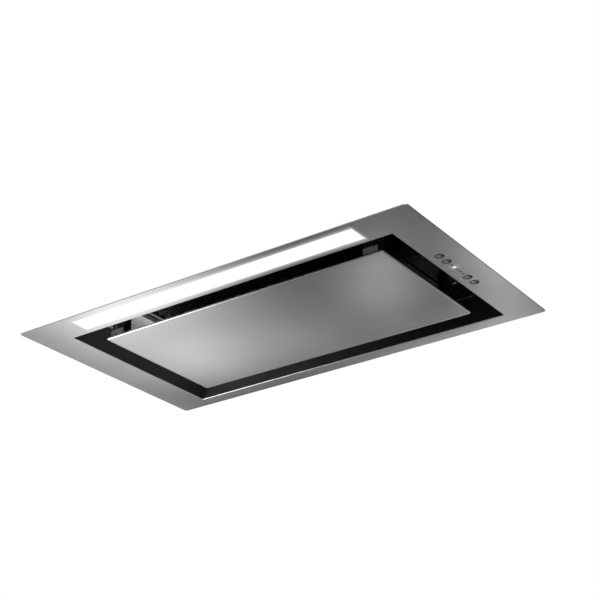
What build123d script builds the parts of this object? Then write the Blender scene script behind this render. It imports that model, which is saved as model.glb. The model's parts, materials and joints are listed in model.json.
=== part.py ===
from build123d import *
from math import asin, atan, cos, degrees, radians, sin
import os

# Built-in range hood, seen from below in use. X runs along the front edge to the right,
# Y from the light strip at the front to the back, Z up into the cabinet. The origin is the
# centre of the rim's upper face, which is the underside of the cabinet. Millimetres.

os.makedirs("parts", exist_ok=True)


def keep(piece, name):
    """Label a finished piece and write it to its own file."""
    piece.part.label = name
    export_step(piece.part, f"parts/{name}.step")


sides = (("left", -1), ("right", 1))

# Rim: one flat stainless sheet with the suction opening, light window and controls
rim_width = 600.0
rim_depth = 350.0
rim_sheet = 1.2
rim_corner = 4.0
opening_width = 500.0
opening_depth = 277.0
opening_y = 14.5
led_width = 440.0
led_depth = 29.0
led_y = -147.8
control_x = 266.0
control_y = 1.0
button_offsets = (-43.3, -26.1, 26.1, 43.3)
button_hole = 12.4
indicator_pitch = 7.1
indicator_count = 5
indicator_hole = 3.2
stud_x = 276.0
stud_ys = (-108.0, 130.0)
stud_radius = 2.0

# Sheet-metal body: a low tray that hides in the cabinet cut-out and a taller casing on it
cut_out_width = 584.0
cut_out_depth = 334.0
cut_out_gap = 2.0
tray_width = cut_out_width - 2 * cut_out_gap
tray_depth = cut_out_depth - 2 * cut_out_gap
tray_sheet = 0.8
deck_bottom = 40.0
deck_sheet = 1.0
deck_top = deck_bottom + deck_sheet
side_screw_pitch = 200.0
side_screw_z = 10.0
side_screw_hole = 5.5
casing_width = 500.0
casing_depth = 280.0
casing_sheet = 0.8
casing_top = 226.0
casing_flange = 8.0
cover_skirt = 12.0
cover_top = casing_top + casing_sheet

# Black inner frame round the opening
liner_wall = 1.6
liner_top = 38.6
liner_flange = 5.0

# Suction panel, hung on two rear hinges and held by two front catches
panel_width = 438.0
panel_depth = 218.0
panel_y = opening_y
panel_sheet = 0.8
panel_edge = 3.0
panel_corner = 3.5
panel_lip = 9.0
panel_bottom = -rim_sheet
panel_top = panel_bottom + panel_edge
hinge_x = 194.0
hinge_y = 100.0
hinge_z = 24.0
hinge_pin = 2.5
catch_x = 200.6
catch_width = 21.0
catch_y = -84.2

# Grease filter
filter_width = 372.0
filter_depth = 232.0
filter_height = 9.0
filter_strip = 13.0
filter_opening_width = 378.0
filter_opening_depth = 238.0
rib_pitch_x = 4.8
rib_slope = 0.533
latch_y = opening_y
latch_travel = 8.0

# Blower: a double-inlet wheel on a crosswise shaft in a spiral housing
wheel_y = -40.0
wheel_z = 146.7
wheel_radius = 62.0
wheel_half_width = 48.0
wheel_plane = Plane(origin=(0, wheel_y, wheel_z), x_dir=(0, 1, 0), z_dir=(1, 0, 0))
blade_count = 22
blade_inner = 50.0
blade_sheet = 0.9
shaft_radius = 4.0
scroll_start = 68.0
scroll_end = 98.0
scroll_wall = 2.0
scroll_half_width = 56.0
inlet_radius = 52.0
outlet_inner_y = 28.0
motor_radius = 38.0
motor_start = 16.0
motor_end = 84.0

# Round outlet with two non-return flaps
outlet_y = wheel_y + (outlet_inner_y + scroll_end) / 2
outlet_radius = 75.0
outlet_wall = 2.5
outlet_top = 268.0
flap_radius = 70.0
flap_axis_x = 4.4
flap_z = 239.5
flap_sheet = 1.5
running_gap = 0.06

button_places = [(control_x, control_y + offset) for offset in button_offsets]
indicator_places = [
    (control_x, control_y + indicator_pitch * (i - (indicator_count - 1) / 2))
    for i in range(indicator_count)
]
stud_places = [(sign * stud_x, y) for name, sign in sides for y in stud_ys]

# Rim frame with four weld studs that end in the nuts
with BuildPart() as rim_frame:
    with BuildSketch(Plane.XY.offset(-rim_sheet)):
        RectangleRounded(rim_width, rim_depth, rim_corner)
        with Locations((0, opening_y)):
            Rectangle(opening_width, opening_depth, mode=Mode.SUBTRACT)
        with Locations((0, led_y)):
            Rectangle(led_width, led_depth, mode=Mode.SUBTRACT)
        with Locations(*button_places):
            Circle(button_hole / 2, mode=Mode.SUBTRACT)
        with Locations(*indicator_places):
            Circle(indicator_hole / 2, mode=Mode.SUBTRACT)
    extrude(amount=rim_sheet)
    with BuildSketch():
        with Locations(*stud_places):
            RegularPolygon(stud_radius, 8)
    extrude(amount=tray_sheet)
keep(rim_frame, "rim_frame")

# Hexagon nuts that hold the tray's feet on the rim's studs
nut_height = 3.2
with BuildPart() as rim_nuts:
    with BuildSketch(Plane.XY.offset(tray_sheet)):
        with Locations(*stud_places):
            RegularPolygon(4.0, 6)
    extrude(amount=nut_height)
keep(rim_nuts, "rim_nuts")

# Liner: moulded black frame, upright walls with a narrow flange at each end
with BuildPart() as liner:
    with BuildSketch():
        with Locations((0, opening_y)):
            Rectangle(opening_width + 2 * liner_wall, opening_depth + 2 * liner_wall)
    extrude(amount=liner_top)
    with BuildSketch():
        with Locations((0, opening_y)):
            Rectangle(opening_width + 2 * liner_flange, opening_depth + 2 * liner_flange)
    extrude(amount=liner_wall)
    with BuildSketch(Plane.XY.offset(liner_top - liner_wall)):
        with Locations((0, opening_y)):
            Rectangle(opening_width + 2 * liner_flange, opening_depth + 2 * liner_flange)
    extrude(amount=liner_wall)
    with BuildSketch():
        with Locations((0, opening_y)):
            Rectangle(opening_width, opening_depth)
    extrude(amount=liner_top, mode=Mode.SUBTRACT)
keep(liner, "liner")

# Support frame: galvanised ring between liner and deck, its outer edges turned down
support_width = opening_width + 20
support_depth = opening_depth + 20
support_sheet = deck_bottom - liner_top
support_lip = 10.0
with BuildPart() as support_frame:
    with BuildSketch(Plane.XY.offset(deck_bottom - support_lip)):
        with Locations((0, opening_y)):
            Rectangle(support_width, support_depth)
    extrude(amount=support_lip)
    with BuildSketch(Plane.XY.offset(deck_bottom - support_lip)):
        with Locations((0, opening_y)):
            Rectangle(support_width - 2 * support_sheet, support_depth - 2 * support_sheet)
    extrude(amount=support_lip - support_sheet, mode=Mode.SUBTRACT)
    with BuildSketch(Plane.XY.offset(liner_top)):
        with Locations((0, opening_y)):
            Rectangle(opening_width, opening_depth)
    extrude(amount=support_sheet, mode=Mode.SUBTRACT)
keep(support_frame, "support_frame")

# Tray walls: frame that stands in the cut-out, with feet on the rim's studs
foot_length = 24.0
foot_width = 20.0
stud_hole = 2 * stud_radius + 0.4
with BuildPart() as tray_walls:
    with BuildSketch():
        Rectangle(tray_width, tray_depth)
        Rectangle(tray_width - 2 * tray_sheet, tray_depth - 2 * tray_sheet, mode=Mode.SUBTRACT)
    extrude(amount=deck_bottom)
    with BuildSketch():
        with Locations(
            *[
                (sign * (tray_width / 2 - tray_sheet / 2 - foot_length / 2), y)
                for name, sign in sides
                for y in stud_ys
            ]
        ):
            Rectangle(foot_length, foot_width)
        with Locations(*stud_places):
            Rectangle(stud_hole, stud_hole, mode=Mode.SUBTRACT)
    extrude(amount=tray_sheet)
    with BuildSketch(Plane.YZ.offset(-tray_width / 2)):
        with Locations((0, side_screw_z)):
            with GridLocations(side_screw_pitch, 0, 2, 1):
                Circle(side_screw_hole / 2)
    extrude(amount=tray_width, mode=Mode.SUBTRACT)
keep(tray_walls, "tray_walls")

# Tray deck: plate on the walls with the filter opening and a cable slot at each end
cable_slot_places = [(sign * 274.0, 95.0) for name, sign in sides]
with BuildPart() as tray_deck:
    with BuildSketch(Plane.XY.offset(deck_bottom)):
        Rectangle(tray_width, tray_depth)
        with Locations((0, opening_y)):
            Rectangle(filter_opening_width, filter_opening_depth, mode=Mode.SUBTRACT)
        with Locations(*cable_slot_places):
            Rectangle(8, 14, mode=Mode.SUBTRACT)
    extrude(amount=deck_sheet)
keep(tray_deck, "tray_deck")

# Side springs: bent leaves on the tray's side walls that grip the cut-out
spring_leaf = 0.6
spring_width = 24.0
with BuildPart() as side_springs:
    for name, sign in sides:
        with BuildSketch(Plane.XZ.offset(-spring_width / 2)):
            with BuildLine():
                wall_x = tray_width / 2 + spring_leaf / 2
                Polyline(
                    (sign * wall_x, 38),
                    (sign * wall_x, 29),
                    (sign * (wall_x + 4.6), 17),
                    (sign * (wall_x + 0.6), 5),
                )
            trace(line_width=spring_leaf)
        extrude(amount=spring_width)
keep(side_springs, "side_springs")

# Upper casing: four walls, foot flange screwed to the deck
with BuildPart() as upper_casing:
    with BuildSketch(Plane.XY.offset(deck_top)):
        with Locations((0, opening_y)):
            Rectangle(casing_width, casing_depth)
    extrude(amount=casing_top - deck_top)
    with BuildSketch(Plane.XY.offset(deck_top)):
        with Locations((0, opening_y)):
            Rectangle(casing_width + 2 * casing_flange, casing_depth + 2 * casing_flange)
    extrude(amount=casing_sheet)
    with BuildSketch(Plane.XY.offset(deck_top)):
        with Locations((0, opening_y)):
            Rectangle(casing_width - 2 * casing_sheet, casing_depth - 2 * casing_sheet)
    extrude(amount=casing_top - deck_top, mode=Mode.SUBTRACT)
keep(upper_casing, "upper_casing")

# Top cover: lid with a turned-down skirt and the blower's outlet cut in it
outlet_mouth_width = 2 * scroll_half_width
outlet_mouth_depth = scroll_end - outlet_inner_y
terminal_x = 196.0
terminal_y = 100.0
skirt_gap = 0.1
with BuildPart() as top_cover:
    with BuildSketch(Plane.XY.offset(casing_top - cover_skirt)):
        with Locations((0, opening_y)):
            Rectangle(
                casing_width + 2 * (skirt_gap + casing_sheet),
                casing_depth + 2 * (skirt_gap + casing_sheet),
            )
    extrude(amount=cover_skirt + casing_sheet)
    with BuildSketch(Plane.XY.offset(casing_top - cover_skirt)):
        with Locations((0, opening_y)):
            Rectangle(casing_width + 2 * skirt_gap, casing_depth + 2 * skirt_gap)
    extrude(amount=cover_skirt, mode=Mode.SUBTRACT)
    with BuildSketch(Plane.XY.offset(casing_top)):
        with Locations((0, outlet_y)):
            Rectangle(outlet_mouth_width, outlet_mouth_depth)
        with Locations((terminal_x, terminal_y)):
            Rectangle(16, 10)
    extrude(amount=casing_sheet, mode=Mode.SUBTRACT)
keep(top_cover, "top_cover")

# Sheet screws, all alike: heads on the casing's flange, under the deck by the hinges, on the
# cover's skirt and on the outlet collar. Their thread-forming shanks are left out.
screw_head = 3.5
screw_head_height = 2.2
collar_flange = 2.5
collar_screw_offset = 78.0
skirt_face = casing_depth / 2 + skirt_gap + casing_sheet
flange_spots = [
    (x, opening_y + sign * (casing_depth / 2 + casing_flange / 2))
    for x in (-170.0, 170.0)
    for name, sign in sides
]
hinge_spots = [(sign * 206.0, -105.0) for name, sign in sides]
skirt_spots = [(x, 0) for x in (-180.0, 180.0)]
collar_spots = [
    (sx * collar_screw_offset, outlet_y + sy * collar_screw_offset) for sx in (-1, 1) for sy in (-1, 1)
]
skirt_planes = [
    Plane(origin=(0, opening_y + sign * skirt_face, casing_top - 5), x_dir=(1, 0, 0), z_dir=(0, sign, 0))
    for name, sign in sides
]
with BuildPart() as sheet_screws:
    for plane, spots in (
        (Plane.XY.offset(deck_top + casing_sheet), flange_spots),
        (Plane(origin=(0, 0, deck_bottom), x_dir=(1, 0, 0), z_dir=(0, 0, -1)), hinge_spots),
        (skirt_planes[0], skirt_spots),
        (skirt_planes[1], skirt_spots),
        (Plane.XY.offset(cover_top + collar_flange), collar_spots),
    ):
        with BuildSketch(plane):
            with Locations(*spots):
                RegularPolygon(screw_head, 6)
        extrude(amount=screw_head_height)
keep(sheet_screws, "sheet_screws")

# Light strip: opal cover in the rim's window, board with diodes, housing and driver
lens_gap = 0.3
with BuildPart() as led_lens:
    with BuildSketch(Plane.XY.offset(-rim_sheet + 0.1)):
        with Locations((0, led_y)):
            Rectangle(led_width - 2 * lens_gap, led_depth - 2 * lens_gap)
    extrude(amount=rim_sheet - 0.1)
    with BuildSketch():
        with Locations((0, led_y + 1.0)):
            Rectangle(led_width + 6, led_depth + 1.6)
    extrude(amount=1.6)
keep(led_lens, "led_lens")

housing_front = led_y - led_depth / 2 - 1.3
housing_back = -130.0
housing_y = (housing_front + housing_back) / 2
housing_width = led_width + 22
housing_height = 18.0
with BuildPart() as led_housing:
    with Locations((0, housing_y, 0)):
        Box(
            housing_width,
            housing_back - housing_front,
            housing_height,
            align=(Align.CENTER, Align.CENTER, Align.MIN),
        )
    offset(amount=-1.0, openings=led_housing.faces().sort_by(Axis.Z)[0])
    with BuildSketch(Plane.YZ.offset(-housing_width / 2)):
        with Locations((housing_y, 8)):
            Rectangle(8, 5)
    extrude(amount=2, mode=Mode.SUBTRACT)
keep(led_housing, "led_housing")

board_top = housing_height - 1.0
diode_count = 24
with BuildPart() as led_board:
    with BuildSketch(Plane.XY.offset(board_top - 1.6)):
        with Locations((0, housing_y)):
            Rectangle(led_width - 10, 18)
    extrude(amount=1.6)
    with BuildSketch(Plane.XY.offset(board_top - 2.4)):
        with Locations((0, housing_y)):
            with GridLocations(led_width / diode_count * 0.98, 0, diode_count, 1):
                Rectangle(3.5, 3.5)
    extrude(amount=0.8)
keep(led_board, "led_board")

driver_x = -275.0
with BuildPart() as led_driver:
    with BuildSketch(Plane.XY.offset(deck_bottom - 2)):
        with Locations((driver_x, 0)):
            Rectangle(14, 116)
    extrude(amount=2)
    with BuildSketch(Plane.XY.offset(deck_bottom - 22)):
        with Locations((driver_x, 0)):
            Rectangle(22, 84)
    extrude(amount=20)
keep(led_driver, "led_driver")

# Push buttons: recessed round caps with a square retaining flange and stem
cap_radius = 5.9
cap_flange = 13.0
stem_side = 5.4
stem_top = 8.5
button_travel = 1.5
for number, place in enumerate(button_places, start=1):
    with BuildPart() as button:
        with BuildSketch(Plane.XY.offset(-0.8)):
            with Locations(place):
                Circle(cap_radius)
        extrude(amount=1.4)
        with BuildSketch(Plane.XY.offset(0.4)):
            with Locations(place):
                Rectangle(cap_flange, cap_flange)
        extrude(amount=1.2)
        with BuildSketch(Plane.XY.offset(1.6)):
            with Locations(place):
                Rectangle(stem_side, stem_side)
        extrude(amount=stem_top - 1.6)
    keep(button, f"button_{number}")

# Button carrier: guides the four stems and carries the board on posts
carrier_x = 268.0
carrier_width = 24.0
carrier_length = 114.0
carrier_top = 8.0
carrier_floor = 4.0
circuit_bottom = 11.0
circuit_top = 12.6
post_places = [(carrier_x + dx, control_y + dy) for dx in (-8, 8) for dy in (-52, 52)]
with BuildPart() as button_carrier:
    with BuildSketch():
        with Locations((carrier_x, control_y)):
            Rectangle(carrier_width, carrier_length)
    extrude(amount=carrier_top)
    with BuildSketch():
        with Locations(*button_places):
            Rectangle(cap_flange + 0.8, cap_flange + 0.8)
    extrude(amount=carrier_floor, mode=Mode.SUBTRACT)
    with BuildSketch(Plane.XY.offset(carrier_floor)):
        with Locations(*button_places):
            Rectangle(stem_side + 2 * running_gap, stem_side + 2 * running_gap)
    extrude(amount=carrier_top - carrier_floor, mode=Mode.SUBTRACT)
    with BuildSketch():
        with Locations((control_x, control_y)):
            Rectangle(3.4, indicator_pitch * (indicator_count - 1) + 3.4)
    extrude(amount=carrier_top, mode=Mode.SUBTRACT)
    with BuildSketch(Plane.XY.offset(carrier_top)):
        with Locations(*post_places):
            Rectangle(4, 4)
    extrude(amount=circuit_bottom - carrier_top)
keep(button_carrier, "button_carrier")

# Indicator pipes: five clear pegs on one bar, above the carrier
with BuildPart() as indicator_pipes:
    with BuildSketch(Plane.XY.offset(-rim_sheet + 0.1)):
        with Locations(*indicator_places):
            RegularPolygon(1.45, 8)
    extrude(amount=rim_sheet - 0.1 + carrier_top)
    with BuildSketch(Plane.XY.offset(carrier_top)):
        with Locations((control_x, control_y)):
            Rectangle(4, indicator_pitch * indicator_count)
    extrude(amount=1.5)
keep(indicator_pipes, "indicator_pipes")

# Circuit board above the stems, with silicone domes that return the buttons
with BuildPart() as switch_board:
    with BuildSketch(Plane.XY.offset(circuit_bottom)):
        with Locations((carrier_x, control_y)):
            Rectangle(carrier_width - 3.6, carrier_length - 3.6)
    extrude(amount=circuit_top - circuit_bottom)
    with BuildSketch(Plane.XY.offset(circuit_bottom - 0.8)):
        with Locations(*indicator_places):
            Rectangle(2.4, 3.0)
    extrude(amount=0.8)
keep(switch_board, "switch_board")

with BuildPart() as switch_domes:
    with BuildSketch(Plane.XY.offset(circuit_bottom)):
        with Locations(*button_places):
            RegularPolygon(4.4, 8)
    extrude(amount=-2.2)
keep(switch_domes, "switch_domes")

# Back cover of the control unit
cover_height = 17.0
with BuildPart() as control_cover:
    with BuildSketch(Plane.XY.offset(carrier_top)):
        with Locations((carrier_x, control_y)):
            Rectangle(carrier_width, carrier_length)
    extrude(amount=cover_height - carrier_top)
    with BuildSketch(Plane.XY.offset(carrier_top)):
        with Locations((carrier_x, control_y)):
            Rectangle(carrier_width - 2.8, carrier_length - 2.8)
    extrude(amount=cover_height - carrier_top - 1.4, mode=Mode.SUBTRACT)
    with BuildSketch(Plane.XZ.offset(-control_y - carrier_length / 2)):
        with Locations((carrier_x, 14.2)):
            Rectangle(10, 2.4)
    extrude(amount=3, mode=Mode.SUBTRACT)
keep(control_cover, "control_cover")

# Suction panel: stainless skin, its four edges folded up and back over themselves
with BuildPart() as panel_skin:
    with BuildSketch(Plane.XY.offset(panel_bottom)):
        with Locations((0, panel_y)):
            RectangleRounded(panel_width, panel_depth, panel_corner)
    extrude(amount=panel_edge)
    chamfer(panel_skin.edges().group_by(Axis.Z)[0], 0.7)
    chamfer(panel_skin.edges().group_by(Axis.Z)[-1], 0.5)
    with BuildSketch(Plane.XY.offset(panel_bottom + panel_sheet)):
        with Locations((0, panel_y)):
            RectangleRounded(panel_width - 2 * panel_sheet, panel_depth - 2 * panel_sheet, 2.7)
    extrude(amount=panel_edge - 2 * panel_sheet, mode=Mode.SUBTRACT)
    with BuildSketch(Plane.XY.offset(panel_top - panel_sheet)):
        with Locations((0, panel_y)):
            RectangleRounded(panel_width - 2 * panel_lip, panel_depth - 2 * panel_lip, 2)
    extrude(amount=panel_sheet, mode=Mode.SUBTRACT)
keep(panel_skin, "panel_skin")

# Stiffening pan behind the skin, with three raised beads
pan_width = 350.0
pan_depth = 168.0
pan_height = 9.0
pan_floor = panel_bottom + panel_sheet
with BuildPart() as panel_pan:
    with BuildSketch(Plane.XY.offset(pan_floor)):
        with Locations((0, panel_y)):
            Rectangle(pan_width, pan_depth)
    extrude(amount=pan_height, taper=20)
    with BuildSketch(Plane.XY.offset(pan_floor + pan_height)):
        with Locations((0, panel_y)):
            with GridLocations(0, 48, 1, 3):
                Rectangle(pan_width * 0.72, 14)
    extrude(amount=1.2, taper=30)
    with BuildSketch(Plane.XY.offset(pan_floor)):
        with Locations((0, panel_y)):
            Rectangle(pan_width + 14, pan_depth + 14)
    extrude(amount=panel_sheet)
    with BuildSketch(Plane.XY.offset(pan_floor)):
        with Locations((0, panel_y)):
            Rectangle(pan_width - 2, pan_depth - 2)
    extrude(amount=pan_height - panel_sheet, taper=20, mode=Mode.SUBTRACT)
    with BuildSketch(Plane.XY.offset(pan_floor + pan_height - panel_sheet)):
        with Locations((0, panel_y)):
            with GridLocations(0, 48, 1, 3):
                Rectangle(pan_width * 0.72 - 3, 11)
    extrude(amount=1.2, taper=30, mode=Mode.SUBTRACT)
keep(panel_pan, "panel_pan")

# Rear hinges: arm welded in the panel, fork bracket under the deck, pins with hexagon heads
arm_sheet = 2.0
arm_foot_sheet = 1.2
arm_foot_width = 16.0
arm_foot_length = 22.0
eye_radius = 5.2
fork_width = 8.0
fork_sheet = 1.2
fork_front = 88.0
fork_back = 107.0
fork_lobe = 6.0
fork_shoulder = 31.0
skin_inside = panel_bottom + panel_sheet
for name, sign in sides:
    with BuildPart() as hinge_arm:
        with BuildSketch(Plane.YZ.offset(sign * hinge_x - arm_sheet / 2)):
            with BuildLine():
                Polyline(
                    (hinge_y - arm_foot_length / 2, skin_inside),
                    (hinge_y - arm_foot_length / 2, skin_inside + 5),
                    (hinge_y - eye_radius, hinge_z),
                    (hinge_y + eye_radius, hinge_z),
                    (hinge_y + arm_foot_length / 2, skin_inside + 5),
                    (hinge_y + arm_foot_length / 2, skin_inside),
                    close=True,
                )
            make_face()
            with Locations((hinge_y, hinge_z)):
                Circle(eye_radius)
                Circle(hinge_pin + running_gap, mode=Mode.SUBTRACT)
        extrude(amount=arm_sheet)
        with BuildSketch(Plane.XY.offset(skin_inside)):
            with Locations((sign * hinge_x, hinge_y)):
                Rectangle(arm_foot_width, arm_foot_length)
        extrude(amount=arm_foot_sheet)
    keep(hinge_arm, f"hinge_arm_{name}")

    fork_start = sign * hinge_x - fork_width / 2
    with BuildPart() as hinge_fork:
        with BuildSketch(Plane.YZ.offset(fork_start)):
            with BuildLine():
                Polyline(
                    (fork_front, deck_bottom),
                    (fork_front, fork_shoulder),
                    (hinge_y - fork_lobe, hinge_z),
                    (hinge_y - fork_lobe / 2, hinge_z - fork_lobe),
                    (hinge_y + fork_lobe / 2, hinge_z - fork_lobe),
                    (hinge_y + fork_lobe, hinge_z),
                    (fork_back, fork_shoulder - 2),
                    (fork_back, deck_bottom),
                    close=True,
                )
            make_face()
        extrude(amount=fork_width)
        with BuildSketch(Plane.YZ.offset(fork_start + fork_sheet)):
            with Locations((hinge_y, deck_bottom - fork_sheet - 25)):
                Rectangle(60, 50)
        extrude(amount=fork_width - 2 * fork_sheet, mode=Mode.SUBTRACT)
        with BuildSketch(Plane.YZ.offset(fork_start)):
            with Locations((hinge_y, hinge_z)):
                Circle(hinge_pin + 0.02)
        extrude(amount=fork_width, mode=Mode.SUBTRACT)
    keep(hinge_fork, f"hinge_fork_{name}")

pin_length = fork_width + 1.0
pin_head = 3.6
with BuildPart() as hinge_pins:
    for name, sign in sides:
        with BuildSketch(Plane.YZ.offset(sign * hinge_x - pin_length / 2)):
            with Locations((hinge_y, hinge_z)):
                Circle(hinge_pin)
        extrude(amount=pin_length)
        for end in (-1, 1):
            with BuildSketch(Plane.YZ.offset(sign * hinge_x + end * fork_width / 2)):
                with Locations((hinge_y, hinge_z)):
                    RegularPolygon(pin_head, 6)
            extrude(amount=end * 1.2)
keep(hinge_pins, "hinge_pins")

# Front catches: steel striker with an arrow head on the panel's lip, spring clip in a black block
striker_front = panel_y - panel_depth / 2 + 1.0
striker_sheet = 1.2
striker_top = panel_top + 8.4
foot_back = catch_y + 5.0
arrow_half_width = 2.9
arrow_depth = 4.0
neck_half_width = 1.6
arrow_z = 20.3
block_front = -91.0
block_back = -77.5
block_bottom = 8.0
block_pocket = 8.2
clip_bottom = 11.0
clip_height = 6.0
slot_spare = 0.4
clip_half_gap = 2.3
for name, sign in sides:
    striker_x = sign * catch_x
    with BuildPart() as striker:
        with BuildSketch(Plane.YZ.offset(striker_x - catch_width / 2)):
            with BuildLine():
                Polyline(
                    (foot_back, panel_top),
                    (striker_front, panel_top),
                    (striker_front, striker_top),
                    (striker_front + striker_sheet, striker_top),
                    (striker_front + striker_sheet, panel_top + striker_sheet),
                    (foot_back, panel_top + striker_sheet),
                    close=True,
                )
            make_face()
        extrude(amount=catch_width)
        with BuildSketch(Plane.XZ.offset(-catch_y - arrow_depth / 2)):
            with BuildLine():
                Polyline(
                    (striker_x - neck_half_width, panel_top + striker_sheet),
                    (striker_x - neck_half_width, arrow_z - 2.4),
                    (striker_x - arrow_half_width, arrow_z - 1.0),
                    (striker_x - arrow_half_width, arrow_z + 0.6),
                    (striker_x - 1.0, arrow_z + 2.9),
                    (striker_x + 1.0, arrow_z + 2.9),
                    (striker_x + arrow_half_width, arrow_z + 0.6),
                    (striker_x + arrow_half_width, arrow_z - 1.0),
                    (striker_x + neck_half_width, arrow_z - 2.4),
                    (striker_x + neck_half_width, panel_top + striker_sheet),
                    close=True,
                )
            make_face()
        extrude(amount=arrow_depth)
    keep(striker, f"striker_{name}")

    with BuildPart() as catch_block:
        with BuildSketch(Plane.XY.offset(block_bottom)):
            with Locations((striker_x, (block_front + block_back) / 2)):
                Rectangle(catch_width, block_back - block_front)
        extrude(amount=deck_bottom - block_bottom)
        chamfer(catch_block.edges().group_by(Axis.Z)[0], 0.8)
        with BuildSketch(Plane.XY.offset(block_bottom)):
            with Locations((striker_x, catch_y)):
                Rectangle(block_pocket, block_pocket)
        extrude(amount=arrow_z + 6 - block_bottom, mode=Mode.SUBTRACT)
        with BuildSketch(Plane.XY.offset(clip_bottom - slot_spare)):
            with Locations((striker_x, block_front)):
                Rectangle(2 * clip_half_gap + 2, 2 * (block_back - block_front - 2.2))
        extrude(amount=clip_height + 2 * slot_spare, mode=Mode.SUBTRACT)
    keep(catch_block, f"catch_block_{name}")

clip_sheet = 0.5
clip_back = block_back - 2.8
clip_flare = 1.8
with BuildPart() as catch_clips:
    for name, sign in sides:
        striker_x = sign * catch_x
        with BuildSketch(Plane.XY.offset(clip_bottom)):
            with BuildLine():
                Polyline(
                    (striker_x - clip_half_gap - clip_flare, block_front - 0.2 - clip_flare),
                    (striker_x - clip_half_gap, block_front - 0.2),
                    (striker_x - clip_half_gap, clip_back),
                    (striker_x + clip_half_gap, clip_back),
                    (striker_x + clip_half_gap, block_front - 0.2),
                    (striker_x + clip_half_gap + clip_flare, block_front - 0.2 - clip_flare),
                )
            trace(line_width=clip_sheet)
        extrude(amount=clip_height)
keep(catch_clips, "catch_clips")

# Grease filter: channel frame with a latch box at its right end
filter_bottom = deck_bottom
filter_top = filter_bottom + filter_height
latch_box_start = 148.0
latch_box_half = 34.0
latch_slot_z = filter_bottom + 1.4
frame_right = filter_width / 2
with BuildPart() as filter_frame:
    with BuildSketch(Plane.XY.offset(filter_bottom)):
        with Locations((0, opening_y)):
            Rectangle(filter_width, filter_depth)
            Rectangle(
                filter_width - 2 * filter_strip, filter_depth - 2 * filter_strip, mode=Mode.SUBTRACT
            )
        with Locations(((latch_box_start + frame_right - 1) / 2, latch_y)):
            Rectangle(frame_right - 1 - latch_box_start, 2 * latch_box_half)
    extrude(amount=filter_height)
    with BuildSketch(Plane.XY.offset(filter_bottom + 1)):
        with Locations((0, opening_y)):
            Rectangle(filter_width - 2, filter_depth - 2)
    extrude(amount=filter_height - 2, mode=Mode.SUBTRACT)
    with BuildSketch(Plane.XY.offset(filter_bottom + 1)):
        with Locations(((latch_box_start + frame_right - 1) / 2, latch_y)):
            Rectangle(frame_right - 1 - latch_box_start, 2 * latch_box_half)
            Rectangle(frame_right - 3 - latch_box_start, 2 * latch_box_half - 2, mode=Mode.SUBTRACT)
    extrude(amount=filter_height - 2)
    with BuildSketch(Plane.XY.offset(filter_bottom)):
        with Locations((162.5, latch_y)):
            Rectangle(14, 23)
    extrude(amount=1, mode=Mode.SUBTRACT)
    with BuildSketch(Plane.YZ.offset(frame_right - 4)):
        with Locations((latch_y, filter_bottom + 2.5)):
            Rectangle(35, 3)
    extrude(amount=6, mode=Mode.SUBTRACT)
keep(filter_frame, "filter_frame")

# Filter mesh: ribbed sheet with a flat sheet above it, cut to the frame's channel
rib_angle = degrees(atan(rib_slope))
rib_pitch = rib_pitch_x * cos(radians(rib_angle))
rib_height = 3.5
mesh_sheet = 0.8
mesh_bottom = filter_bottom + 1.1
mesh_span = 440.0
crest_count = int(mesh_span / rib_pitch)
crests = [((i - crest_count) * rib_pitch / 2, rib_height * (i % 2)) for i in range(2 * crest_count + 1)]
with BuildPart() as filter_mesh:
    across = (cos(radians(rib_angle)), sin(radians(rib_angle)), 0)
    along = (sin(radians(rib_angle)), -cos(radians(rib_angle)), 0)
    with BuildSketch(Plane(origin=(0, opening_y, mesh_bottom), x_dir=across, z_dir=along)):
        with BuildLine():
            Polyline(*crests, *[(x, z + mesh_sheet) for x, z in reversed(crests)], close=True)
        make_face()
    extrude(amount=mesh_span / 2, both=True)
    with BuildSketch(Plane.XY.offset(mesh_bottom + rib_height + 1.0)):
        Rectangle(filter_width, filter_depth + 2 * opening_y)
    extrude(amount=mesh_sheet)
    with BuildSketch(Plane.XY.offset(filter_bottom)):
        with Locations((0, opening_y)):
            Rectangle(filter_width - 3, filter_depth - 3)
        with Locations((frame_right - 20, latch_y)):
            Rectangle(48, 2 * latch_box_half + 2, mode=Mode.SUBTRACT)
    extrude(amount=filter_height, mode=Mode.INTERSECT)
keep(filter_mesh, "filter_mesh")

# Filter latch: sliding tongue with a finger tab, pushed out by a serpentine spring
with BuildPart() as filter_latch:
    with BuildSketch(Plane.XY.offset(latch_slot_z)):
        with Locations((174, latch_y)):
            Rectangle(16, 52)
    extrude(amount=5.6)
    with BuildSketch(Plane.XY.offset(latch_slot_z)):
        with Locations((187, latch_y)):
            Rectangle(12, 34)
    extrude(amount=2.0)
    with BuildSketch(Plane.XZ.offset(-latch_y - 11)):
        with BuildLine():
            Polyline(
                (166, latch_slot_z),
                (169, latch_slot_z),
                (168.2, 34.5),
                (169.4, 33),
                (166.6, 33),
                close=True,
            )
        make_face()
    extrude(amount=22)
keep(filter_latch, "filter_latch")

spring_start = latch_box_start + 1.9
spring_end = 165.1
spring_turns = 5
with BuildPart() as latch_spring:
    with BuildSketch(Plane.XY.offset(filter_bottom + 3)):
        with BuildLine():
            Polyline(
                *[
                    (
                        spring_start + (spring_end - spring_start) * i / (2 * spring_turns),
                        latch_y + 7 * (-1) ** i,
                    )
                    for i in range(2 * spring_turns + 1)
                ]
            )
        trace(line_width=0.7)
    extrude(amount=2.5)
keep(latch_spring, "latch_spring")

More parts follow.
